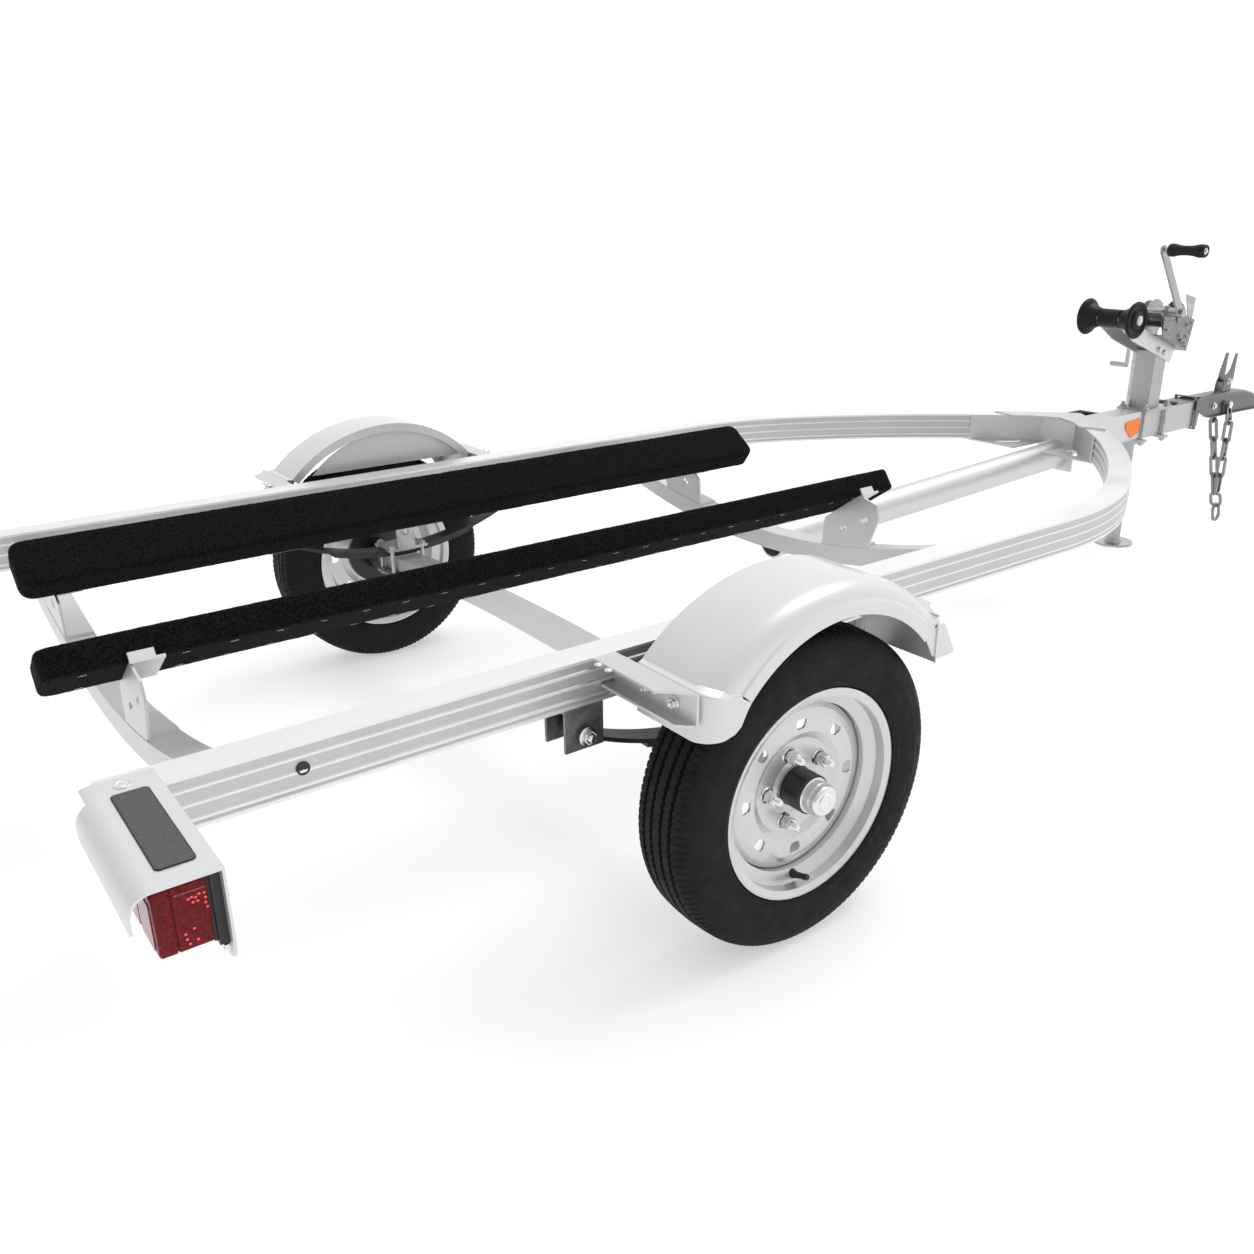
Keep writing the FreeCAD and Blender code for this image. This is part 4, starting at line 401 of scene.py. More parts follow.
def piece(name, bm, finish, rides, smooth):
    """A placed piece whose edges stay sharp above an angle in degrees."""
    bmesh.ops.recalc_face_normals(bm, faces=bm.faces)
    obj = place(name, bm, finish, rides)
    obj.data.set_sharp_from_angle(angle=math.radians(smooth))
    return obj


def frame_at(spot, axis, spin=0.0):
    """A matrix that takes +Z to the axis at the spot."""
    turn = Vector((0, 0, 1)).rotation_difference(Vector(axis).normalized()).to_matrix().to_4x4()
    return Matrix.Translation(spot) @ turn @ Matrix.Rotation(spin, 4, "Z")


def on(side, x, y, z):
    """A point given for the left side, mirrored for the right."""
    return Vector((x, side * y, z))


def across(x, y, z, way=1):
    """A matrix for turned parts that lie across the trailer."""
    return frame_at((x, y, z), (0, way, 0))


def lathe(bm, where, outline, count, lobes=None):
    """Revolve (height, radius) pairs about the matrix's Z; lobes(angle) scales the radius."""
    rings = []
    for h, r in outline:
        if r < 1e-6:
            rings.append([bm.verts.new(where @ Vector((0, 0, h)))])
            continue
        ring = []
        for i in range(count):
            a = 2 * math.pi * i / count
            k = r * (lobes(a) if lobes else 1)
            ring.append(bm.verts.new(where @ Vector((k * math.cos(a), k * math.sin(a), h))))
        rings.append(ring)
    for low, high in zip(rings, rings[1:]):
        for i in range(count):
            j = (i + 1) % count
            quad = [low[i % len(low)], low[j % len(low)], high[j % len(high)],
                    high[i % len(high)]]
            corners = []
            for v in quad:
                if v not in corners:
                    corners.append(v)
            if len(corners) > 2:
                bm.faces.new(corners)


def hexed(a):
    """Scale of a hexagon's radius at an angle."""
    s = math.pi / 3
    return math.cos(s / 2) / math.cos((a % s) - s / 2)


def hex_bolt(bm, spot, axis, r, tall, stud=0.0):
    """Hexagon head or nut with a chamfer, its washer and the thread's end."""
    w = frame_at(spot, axis, 0.2)
    base, hexagon = 0.0016, r * 1.1
    top = base + tall
    lathe(bm, w, [(-0.0004, 0), (-0.0004, r * 1.5), (0.0013, r * 1.5), (base, r * 1.42),
                  (base, 0)], 24)
    lathe(bm, w, [(base, 0), (base, hexagon)], 24, hexed)
    lathe(bm, w, [(base, hexagon), (base + tall * 0.82, hexagon), (top, r * 0.92),
                  (top, r * 0.55), (top - 0.0004, r * 0.5), (top - 0.0004, 0)], 24, hexed)
    if stud:
        t = r * 0.55
        rings = [(top - 0.001, t)]
        steps = max(3, int(stud / 0.0012))
        for i in range(steps):
            h = top + stud * i / steps
            rings += [(h, t * 0.88), (h + stud / steps * 0.5, t)]
        rings += [(top + stud, t * 0.7), (top + stud, 0)]
        lathe(bm, w, rings, 16)


def dome(bm, spot, axis, r, tall, count=20):
    """Rivet or carriage-bolt head."""
    rings = [(-0.0004, r)]
    for i in range(1, 6):
        a = math.pi / 2 * i / 5
        rings.append((tall * math.sin(a), r * math.cos(a) if i < 5 else 0))
    lathe(bm, frame_at(spot, axis), rings, count)


def slab(bm, corners, thick):
    """A plate from its outline, thickened along its own normal."""
    pts = [Vector(c) for c in corners]
    n = (pts[1] - pts[0]).cross(pts[2] - pts[1]).normalized() * thick
    low = [bm.verts.new(p) for p in pts]
    high = [bm.verts.new(p + n) for p in pts]
    bm.faces.new(low)
    bm.faces.new(high)
    loft(bm, [low, high])


def loft(bm, rings):
    """Quads between closed rings of vertices."""
    for low, high in zip(rings, rings[1:]):
        for i in range(len(low)):
            j = (i + 1) % len(low)
            bm.faces.new((low[i], low[j], high[j], high[i]))


def grid(bm, rows):
    """Quads between open rows of points."""
    made = [[bm.verts.new(p) for p in row] for row in rows]
    for low, high in zip(made, made[1:]):
        for i in range(len(low) - 1):
            bm.faces.new((low[i], low[i + 1], high[i + 1], high[i]))


def shell(bm, thick):
    """Give an open sheet its thickness, inwards."""
    bm.normal_update()
    faces = list(bm.faces)
    inner = {v: bm.verts.new(v.co - v.normal * thick) for v in list(bm.verts)}
    for edge in list(bm.edges):
        if len(edge.link_loops) == 1:
            loop = edge.link_loops[0]
            a, b = loop.vert, loop.link_loop_next.vert
            bm.faces.new((b, a, inner[a], inner[b]))
    for f in faces:
        bm.faces.new([inner[v] for v in reversed(f.verts)])


def face_outwards(bm, way_out):
    """Turn each face to the way out at its middle."""
    bm.normal_update()
    for f in bm.faces:
        if way_out(f.calc_center_median()).dot(f.normal) < 0:
            f.normal_flip()


def wound(points, side):
    """The points, turned round on the left so that a slab grows the same way on both sides."""
    return points if side < 0 else points[::-1]


def rounded(cx, cy, w, h, r, steps=5):
    """Outline of a rectangle with rounded corners, counter-clockwise."""
    out = []
    for sx, sy, start in ((1, 1, 0), (-1, 1, 90), (-1, -1, 180), (1, -1, 270)):
        for i in range(steps + 1):
            a = math.radians(start + 90 * i / steps)
            out.append((cx + sx * (w / 2 - r) + r * math.cos(a),
                        cy + sy * (h / 2 - r) + r * math.sin(a)))
    return out


def drawn_in(end, radius):
    """How far a rounded edge has drawn in at a distance from its end."""
    if end >= radius:
        return 0.0
    return radius - math.sqrt(max(0.0, radius ** 2 - (radius - end) ** 2))


def blend_at(table, x):
    """A straight-line reading of (x, value) pairs, held at both ends."""
    for (x0, a), (x1, b) in zip(table, table[1:]):
        if x <= x1:
            return a + (b - a) * max(0.0, (x - x0) / (x1 - x0))
    return table[-1][1]


# Tyres.
def tyre(label, side):
    """Ribbed trailer tread with four wavy grooves, shoulder sipes and moulded rings."""
    per = 4
    count = 132 * per
    # Outline from the bead to the middle of the tread, as kind, y and radius. The kinds are
    # s side wall, h shoulder, t tread, w edge of a groove and g its floor.
    cols = [("s", 0.0457, 0.1583), ("s", 0.0475, 0.1640), ("s", 0.0505, 0.1688),
            ("s", 0.0540, 0.1700), ("s", 0.0565, 0.1722), ("s", 0.0572, 0.1760),
            ("s", 0.0574, 0.1772), ("s", 0.0580, 0.1776), ("s", 0.0582, 0.1792),
            ("s", 0.0580, 0.1820), ("s", 0.0592, 0.1900), ("s", 0.0598, 0.1980),
            ("s", 0.0598, 0.2060), ("s", 0.0596, 0.2120), ("s", 0.0593, 0.2150),
            ("s", 0.0595, 0.2156), ("s", 0.0592, 0.2176), ("s", 0.0582, 0.2220),
            ("s", 0.0570, 0.2275), ("s", 0.0568, 0.2286), ("s", 0.0562, 0.2292),
            ("s", 0.0556, 0.2320), ("h", 0.0540, 0.2362), ("h", 0.0512, 0.2420),
            ("h", 0.0478, 0.2464), ("h", 0.0446, 0.2490), ("h", 0.0408, 0.2507),
            ("t", 0.0345, 0.2518), ("w", 0.0312, 0.2521), ("g", 0.0296, 0.2465),
            ("g", 0.0262, 0.2465), ("w", 0.0246, 0.2528), ("t", 0.0190, 0.2532),
            ("w", 0.0132, 0.2535), ("g", 0.0116, 0.2475), ("g", 0.0084, 0.2475),
            ("w", 0.0068, 0.2538), ("t", 0.0, 0.2540)]
    cols += [(kind, -y, r) for kind, y, r in cols[-2::-1]]
    waves = (0.0011, 0.0004, -0.0011, -0.0004)
    sipe, notch = 0.0024, 0.002
    hub = on(side, AXLE, WHEEL_Y, WHEEL_Z)
    bm = bmesh.new()
    rings = []
    for j in range(count):
        a = 2 * math.pi * j / count
        step = j % per
        ring = []
        for kind, y, r in cols:
            dy = {"w": waves[step], "g": waves[step] * 0.8}.get(kind, 0.0)
            if kind == "h" and step == (0 if y > 0 else 2):
                r -= sipe * min(1.0, (r - 0.234) / 0.006)
            if kind == "t" and abs(y) > 0.03 and j % (2 * per) == 0:
                r -= notch
            ring.append(bm.verts.new(hub + Vector((r * math.sin(a), y + dy, r * math.cos(a)))))
        rings.append(ring)
    loft(bm, rings + rings[:1])
    obj = piece("tyre_tread_" + label, bm, "tyre", "wheel_" + label, 32)
    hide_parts("tyre_" + label)


for label, side in SIDES:
    tyre(label, side)


# Wheel fittings.
def wheel_fittings(label, side):
    """Nuts on their studs with the hub's cap, and the valve."""
    hub, out = on(side, AXLE, WHEEL_Y, WHEEL_Z), (0, side, 0)
    bm = bmesh.new()
    for i in range(5):
        a = math.radians(72 * i + 16)
        spot = hub + Vector((math.sin(a) * side * STUD_CIRCLE, side * 0.0130,
                             math.cos(a) * STUD_CIRCLE))
        w = frame_at(spot, out, 0.3 * i)
        lathe(bm, w, [(0, 0.0), (0, 0.0125), (0.0015, 0.0135), (0.004, 0.0118)], 24)
        lathe(bm, w, [(0.002, 0.0098), (0.003, 0.0108), (0.017, 0.0108), (0.0192, 0.0092),
                      (0.0195, 0.0066), (0.0192, 0.006)], 24, hexed)
        thread = [(0.010, 0.0058)]
        for k in range(9):
            thread += [(0.0190 + k * 0.0013, 0.0053), (0.0196 + k * 0.0013, 0.0060)]
        lathe(bm, w, thread + [(0.0315, 0.0045), (0.0315, 0.0)], 16)
    lathe(bm, frame_at(hub, out),
          [(0.050, 0.0), (0.050, 0.0268), (0.0515, 0.0282), (0.0545, 0.0285),
           (0.0560, 0.0272), (0.0562, 0.0262), (0.0585, 0.0256), (0.0660, 0.0254),
           (0.0670, 0.0247), (0.0690, 0.0250), (0.0750, 0.0246), (0.0785, 0.0228),
           (0.0800, 0.0200), (0.0803, 0.0165), (0.0798, 0.0155), (0.0812, 0.0145),
           (0.0818, 0.0120), (0.0818, 0.0085), (0.0812, 0.0080), (0.0812, 0.0)], 48)
    obj = piece("wheel_nuts_" + label, bm, "steel", "wheel_" + label, 35)
    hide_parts("hub_cap_" + label)

    bm = bmesh.new()
    a, circle = math.radians(184), 0.146
    root = hub + Vector((math.sin(a) * circle, side * 0.026, math.cos(a) * circle))
    lathe(bm, frame_at(root, (0.0, side * 0.93, 0.30)),
          [(-0.004, 0.0), (-0.004, 0.0085), (0.004, 0.0085), (0.007, 0.0062),
           (0.016, 0.0050), (0.024, 0.0046), (0.0245, 0.0036), (0.0255, 0.0036),
           (0.026, 0.0046), (0.0275, 0.0050), (0.0355, 0.0050), (0.037, 0.0042),
           (0.037, 0.0)], 20)
    piece("valve_" + label, bm, "black", "wheel_" + label, 40)


for label, side in SIDES:
    wheel_fittings(label, side)


# Carpeted bunks.
def bunk(label, side, back):
    """A board wrapped in rippled carpet with fibres all over, and its staples underneath."""
    rng = random.Random(7 if side > 0 else 11)
    long, wide, thick = 1.615, 0.0985, 0.0445
    corner, soft = 0.0235, 0.007
    lie = (Matrix.Translation((0, side * 0.245, 0.504)) @
           Matrix.Rotation(math.radians(35) * side, 4, "X"))
    start = AXLE - back + 0.0006
    run = 260
    stations = [corner * (1 - math.cos(math.pi / 2 * i / 10)) for i in range(11)]
    stations += [corner + (long - 2 * corner) * i / run for i in range(1, run)]
    stations += [long - s for s in stations[10::-1]]
    # Round the section: a bend at each corner, then the wide face or the narrow side after it.
    loop = []
    for cx, cy, turn in ((1, 1, 0), (-1, 1, 90), (-1, -1, 180), (1, -1, 270)):
        for k in range(4):
            a = math.radians(turn + 30 * k)
            loop.append(("bend", cx, cy, math.cos(a), math.sin(a)))
        if cx * cy > 0:
            loop += [("face", cx * (1 - 2 * k / 9), cy, 0, 0) for k in range(1, 9)]
        else:
            loop += [("side", cx, cy * (1 - 2 * k / 4), 0, 0) for k in range(1, 4)]
    bm = bmesh.new()
    rings = []
    for s in stations:
        end = min(s, long - s)
        half = wide / 2 - drawn_in(end, corner)
        tall = thick / 2 - drawn_in(end, soft)
        r = min(soft, tall)
        ring = []
        for kind, u, v, c, d in loop:
            if kind == "face":
                y, z = (half - r) * u, v * tall
            elif kind == "side":
                y, z = u * half, v * (tall - r)
            else:
                y, z = u * (half - r) + r * c, v * (tall - r) + r * d
            p = Vector((start + s, y, z))
            ripple = noise.noise(p * 9.0) * 0.0006 + noise.noise(p * 160.0) * 0.0005
            out = Vector((0, y / 0.05, z / 0.022)).normalized()
            ring.append(bm.verts.new(lie @ (p + out * (ripple - 0.0002))))
        rings.append(ring)
    loft(bm, rings)
    bm.faces.new(rings[0])
    bm.faces.new(rings[-1][::-1])
    bmesh.ops.recalc_face_normals(bm, faces=bm.faces)
    bm.normal_update()
    faces = [f for f in bm.faces if len(f.verts) == 4]
    weights = [f.calc_area() for f in faces]
    fibres = 42000
    for f in rng.choices(faces, weights, k=fibres):
        a, b, c, d = (v.co for v in f.verts)
        u, w = rng.random(), rng.random()
        p = a.lerp(b, u).lerp(d.lerp(c, u), w)
        lean = Vector((rng.uniform(-1, 1), rng.uniform(-1, 1), rng.uniform(-1, 1)))
        tip = p + (f.normal + lean * 0.9).normalized() * rng.uniform(0.0012, 0.0028)
        root = (tip - p).cross(lean).normalized() * 0.00022
        if root.length > 1e-6:
            bm.faces.new([bm.verts.new(q) for q in (p - root, p + root, tip)])
    obj = place("bunk_carpet_" + label, bm, "carpet", "chassis")
    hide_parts("bunk_" + label)

    bm = bmesh.new()
    count, inset = 24, 0.05
    wire = Matrix.Diagonal((0.011, 0.0011, 0.0011, 1))
    for row in (-0.033, 0.033):
        for i in range(count):
            x = start + inset + (long - 2 * inset) * i / (count - 1)
            y = row + rng.uniform(-0.002, 0.002)
            spot = Matrix.Translation((x, y, -thick / 2 - 0.0004))
            turn = Matrix.Rotation(rng.uniform(-0.3, 0.3), 4, "Z")
            bmesh.ops.create_cube(bm, size=1.0, matrix=lie @ spot @ turn @ wire)
    piece("staples_" + label, bm, "steel", "chassis", 40)


bunk("left", 1, 0.850)
bunk("right", -1, 0.905)


# Lamps and their guards.
def lamp(label, side):
    """The lens with its reflex fields, line, lights and band, and what lies on the guard."""
    back, front = -1.8785, -1.823
    inner, outer, low, high = 0.6325, 0.8015, 0.4025, 0.4775
    mid_y, mid_z = (inner + outer) / 2, (low + high) / 2
    w, h = outer - inner, high - low
    bm = bmesh.new()
    rings = []
    for x, inset, r in ((front, 0.0, 0.004), (front - 0.036, 0.0, 0.004),
                        (front - 0.0364, 0.0012, 0.004), (front - 0.0376, 0.0012, 0.004),
                        (front - 0.038, 0.0, 0.004), (back + 0.0030, 0.0, 0.004),
                        (back + 0.0012, 0.0012, 0.005), (back + 0.0004, 0.0035, 0.006),
                        (back, 0.007, 0.007)):
        rings.append([bm.verts.new(on(side, x, y, z)) for y, z in
                      rounded(mid_y, mid_z, w - 2 * inset, h - 2 * inset, r)])
    loft(bm, rings)
    bm.faces.new(rings[-1])
    bm.faces.new(rings[0][::-1])
    obj = piece("lens_" + label, bm, "lens", "chassis", 30)
    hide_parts("lamp_lens_" + label)

    bm = bmesh.new()
    for y0, y1 in ((0.640, 0.688), (0.693, 0.741), (0.746, 0.794)):
        ring = rounded((y0 + y1) / 2, mid_z - 0.004, y1 - y0, h - 0.022, 0.003, 3)
        slab(bm, wound([on(side, back - 0.0002, y, z) for y, z in ring], side), 0.0008)
    piece("reflex_face_" + label, bm, "reflex_red", "chassis", 30)

    bm = bmesh.new()
    slab(bm, [on(side, x, outer, z) for x, z in
              ((front - 0.0335, mid_z + 0.0262), (front - 0.003, mid_z + 0.0262),
               (front - 0.003, mid_z + 0.0280), (front - 0.0335, mid_z + 0.0280))],
         side * -0.0005)
    piece("lens_line_" + label, bm, "reflex_red", "chassis", 30)

    bm = bmesh.new()
    for dx, dz in ((0.026, -0.030), (0.028, -0.024), (0.0285, -0.018), (0.021, 0.019),
                   (0.0175, 0.020), (0.014, 0.0185), (0.0105, 0.021), (0.0055, 0.0205),
                   (0.0050, 0.0150), (0.0055, 0.0095), (0.0045, 0.004), (0.018, -0.028),
                   (0.020, -0.0145), (0.017, 0.014), (0.0125, 0.014)):
        dome(bm, on(side, front - dx, outer - 0.0002, mid_z + dz), (0, side, 0),
             0.0016, 0.0005, 12)
    piece("lens_lights_" + label, bm, "led", "chassis", 40)

    bm = bmesh.new()
    slab(bm, [on(side, x, outer + 0.0002, z) for x, z in
              ((front + 0.0005, mid_z - h / 2 + 0.001), (front - 0.0035, mid_z - h / 2 + 0.001),
               (front - 0.0025, mid_z + h / 2), (front + 0.0005, mid_z + h / 2))], side * 0.0010)
    piece("lamp_band_" + label, bm, "black", "chassis", 30)

    for name, finish, long, wide, r, lift, thick in (
            ("step_edge_", "edge", 0.040, 0.176, 0.006, 0.0001, 0.0009),
            ("step_grip_", "grit", 0.0372, 0.1732, 0.0048, 0.0003, 0.0011)):
        bm = bmesh.new()
        ring = rounded(-1.8458, 0.699, long, wide, r)[::-1]
        slab(bm, wound([on(side, x, y, GUARD_TOP + lift) for x, y in ring], side), thick)
        piece(name + label, bm, finish, "chassis", 30)

    bm = bmesh.new()
    lathe(bm, frame_at(on(side, -1.848, 0.592, GUARD_TOP), (0, 0, 1)),
          [(-0.0003, 0.0), (-0.0003, 0.0095), (0.0009, 0.0092), (0.0014, 0.0080),
           (0.0008, 0.0070), (0.0004, 0.0050), (0.0009, 0.0040), (0.0009, 0.0)], 32)
    for y in (0.800, 0.640):
        hex_bolt(bm, on(side, -1.8132, y, 0.392), (-1, 0, 0), 0.0045, 0.004)
    for y in (0.645, 0.717, 0.790):
        dome(bm, on(side, -1.8098, y, 0.440), (1, 0, 0), 0.006, 0.003)
    piece("guard_fixings_" + label, bm, "steel", "chassis", 35)


for label, side in SIDES:
    lamp(label, side)


# Fenders.
def fender(label, side):
    """One rolled sheet: flat top, round shoulder, crease, skirt and the flaps at both ends."""
    cx, cz = AXLE + 0.020, 0.304
    edge_y, sheet, bend = 0.802, 0.0022, 0.004
    ahead, behind = 0.280, 0.315
    # Lines along the fender, from its inner edge out: y, then the radii ahead, behind and above.
    cols = [(0.650 + 0.038 * i, ahead, behind, ahead) for i in range(4)]
    for k in range(1, 9):
        a = math.pi / 2 * k / 8
        r = 0.2545 + 0.0255 * math.cos(a)
        cols.append((0.764 + 0.035 * math.sin(a), r, 0.2545 + 0.0605 * math.cos(a), r))
    cols += [(0.8003, 0.2528, 0.2528, 0.2528), (0.8012, 0.2518, 0.2518, 0.2518)]
    skirt = [(0.8019, 0.2508, 0.2508, 0.2508), (edge_y, 0.2412, 0.2412, 0.2412),
             (edge_y, 0.2315, 0.2315, 0.2315)]

    def at(col, f):
        """A point of a line, from its rear end at -1 to its front end at 1."""
        y, front, rear, tall = col
        a = math.radians((49.3 if y < 0.77 else 48.5) * f)
        return on(side, cx + (front if f > 0 else rear) * math.sin(a), y,
                  cz + tall * math.cos(a))

    bm = bmesh.new()
    steps = 90
    grid(bm, [[at(c, -1 + 2 * i / steps) for c in cols + skirt] for i in range(steps + 1)])
    for end in (-1, 1):
        radius = 0.033 if end < 0 else 0.010
        rim = []
        for i, col in enumerate(cols):
            k = max(0, i - 3) / (len(cols) - 4)
            a = math.pi / 2 * k
            y = edge_y - radius
            if i < 4:
                y = 0.655 + (col[0] - 0.650) * (y - 0.655) / 0.114
            way = Vector((end * math.cos(a), side * math.sin(a), 0))
            spot = on(side, AXLE + end * (0.2315 - radius), y, 0.4865 - 0.0095 * k ** 1.5)
            rim.append((spot, way, 0.413 + 0.0024 * k))
        last = [at(col, end) for col in cols]
        rows = [last, [p.lerp(s + w * (radius - bend), 0.5) for p, (s, w, _) in zip(last, rim)]]
        for i in range(5):
            a = math.pi / 2 * i / 4
            drop = Vector((0, 0, bend * (1 - math.cos(a))))
            rows.append([s + w * (radius - bend + bend * math.sin(a)) - drop for s, w, _ in rim])
        rows.append([Vector((*(s + w * radius).xy, foot)) for s, w, foot in rim])
        grid(bm, rows)
        if end < 0:
            top = [(-0.1692, 0.4713), (-0.1766, 0.4727), (-0.1840, 0.4741), (-0.1913, 0.4755),
                   (-0.1985, 0.4770)]
            foot = [(-0.1534, 0.4574), (-0.1607, 0.4469), (-0.1708, 0.4275), (-0.1813, 0.4195),
                    (-0.1985, 0.4154)]
            grid(bm, [[on(side, AXLE + x, y, z - d) for x, z in points] for points, y, d in
                      ((top, 0.7985, 0), (top, 0.8012, 0.0015), (top, edge_y, 0.004),
                       (foot, edge_y, 0))])
    bmesh.ops.remove_doubles(bm, verts=bm.verts, dist=0.00005)
    face_outwards(bm, lambda p: p - Vector((cx, side * 0.70, 0.36)))
    shell(bm, sheet)

    ear = [(0.1950, 0.4640), (0.2044, 0.4715), (0.2391, 0.4765), (0.2690, 0.4239),
           (0.2621, 0.4211), (0.2280, 0.4207), (0.2177, 0.4274)]
    slab(bm, wound([on(side, AXLE + x, 0.7997, z) for x, z in ear], side), sheet)
    moon, lip = [], []
    for i in range(25):
        a = math.radians(-46 + 92 * i / 24)
        moon.append(on(side, cx + 0.262 * math.sin(a), 0.6615, cz + 0.262 * math.cos(a)))
    slab(bm, wound(moon, side), sheet)
    for i in range(37):
        a = math.radians(-49.3 + 98.6 * i / 36)
        far = behind if a < 0 else ahead
        lip.append([on(side, cx + (far - d) * math.sin(a), y, cz + (ahead - d) * math.cos(a))
                    for y, d in ((0.650, 0.0005), (0.6502, 0.018), (0.6615, 0.0195),
                                 (0.6637, 0.0195), (0.6637, 0.003))])
    grid(bm, lip)
    obj = piece("fender_sheet_" + label, bm, "fender", "chassis", 28)
    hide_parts("fender_" + label)


for label, side in SIDES:
    fender(label, side)


# Winch drum, the crank's grip and the bolts of the winch plate.
def winch():
    """Flanges and a ribbed barrel for the drum, and the grip with its pin."""
    bm = bmesh.new()
    groove, r = [], 0.052
    for q in (0.049, 0.044, 0.039, 0.034):
        groove += [(0.0, q + 0.0012), (0.0007, q + 0.0006), (0.0007, q - 0.0006),
                   (0.0, q - 0.0012)]
    for near, far, extra in ((0.0150, 0.0178, []), (-0.0400, -0.0372, groove)):
        thick = far - near
        rings = [(0, 0.0), (0, r), (thick * 0.3, r + 0.0008), (thick * 0.7, r + 0.0008),
                 (thick, r)]
        rings += [(thick - d, q) for d, q in extra] + [(thick, 0.012), (thick, 0.0)]
        lathe(bm, across(DRUM_X, near, DRUM_Z), rings, 72)
    lathe(bm, across(DRUM_X, 0.0152, DRUM_Z, -1),
          [(0, 0.0518), (0.0004, 0.0512), (0.0004, 0.0500), (-0.0002, 0.0494),
           (-0.0002, 0.0460), (0.0006, 0.0452), (0.0006, 0.0440), (-0.0002, 0.0432),
           (-0.0002, 0.0400), (0.0006, 0.0392), (0.0006, 0.0380), (-0.0002, 0.0372),
           (-0.0002, 0.03)], 72)
    barrel, pitch = [(0, 0.024)], 0.00196
    for i in range(27):
        barrel += [(0.0005 + i * pitch, 0.0255), (0.0012 + i * pitch, 0.0263)]
    lathe(bm, across(DRUM_X, -0.0374, DRUM_Z), barrel + [(0.0530, 0.024)], 48)
    piece("drum_flanges", bm, "drum", "drum", 32)

    bm = bmesh.new()
    lathe(bm, across(GRIP_X, -0.1065, GRIP_Z, -1),
          [(0, 0.0), (0, 0.0120), (0.0015, 0.0150), (0.005, 0.0168), (0.014, 0.0172),
           (0.020, 0.0160), (0.026, 0.0142), (0.036, 0.0128), (0.048, 0.0124),
           (0.060, 0.0128), (0.070, 0.0141), (0.078, 0.0160), (0.084, 0.0171),
           (0.094, 0.0172), (0.099, 0.0166), (0.1015, 0.0150), (0.1015, 0.0105),
           (0.0995, 0.0100), (0.0995, 0.0)], 48)
    grip = piece("grip_moulding", bm, "roller", "crank", 30)
    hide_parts("crank_grip")

    bm = bmesh.new()
    lathe(bm, across(GRIP_X, -0.2055, GRIP_Z, -1),
          [(0, 0.0), (0, 0.0082), (0.0012, 0.0082), (0.0012, 0.0052), (0.0040, 0.0050),
           (0.0052, 0.0036), (0.0052, 0.0)], 32)
    piece("grip_pin", bm, "steel", "crank", 30)


def winch_bolts():
    """Bolts on the near plate, by their places along and up the leaning winch frame, and a tab."""
    bm = bmesh.new()
    cos, sin, tab_y = 0.9397, 0.342, -0.0535
    for u, v, r in ((-0.0505, 0.0659, 0.0066), (-0.0114, 0.0744, 0.0056),
                    (0.049, 0.0655, 0.0052), (-0.055, 0.0213, 0.0040), (0.026, 0.0266, 0.0056),
                    (0.060, 0.035, 0.0052), (0.061, 0.016, 0.0052)):
        spot = Vector((1.201 + cos * u + sin * v, -0.057, 0.665 - sin * u + cos * v))
        hex_bolt(bm, spot, (0, -1, 0), r, 0.0045, 0.003)
    slab(bm, [(1.2388, tab_y, 0.7988), (1.2961, tab_y, 0.7847), (1.2900, tab_y, 0.7080),
              (1.2700, tab_y, 0.7080), (1.2630, tab_y, 0.7420)], -0.0018)
    piece("winch_bolts", bm, "zinc", "chassis", 35)


winch()
winch_bolts()


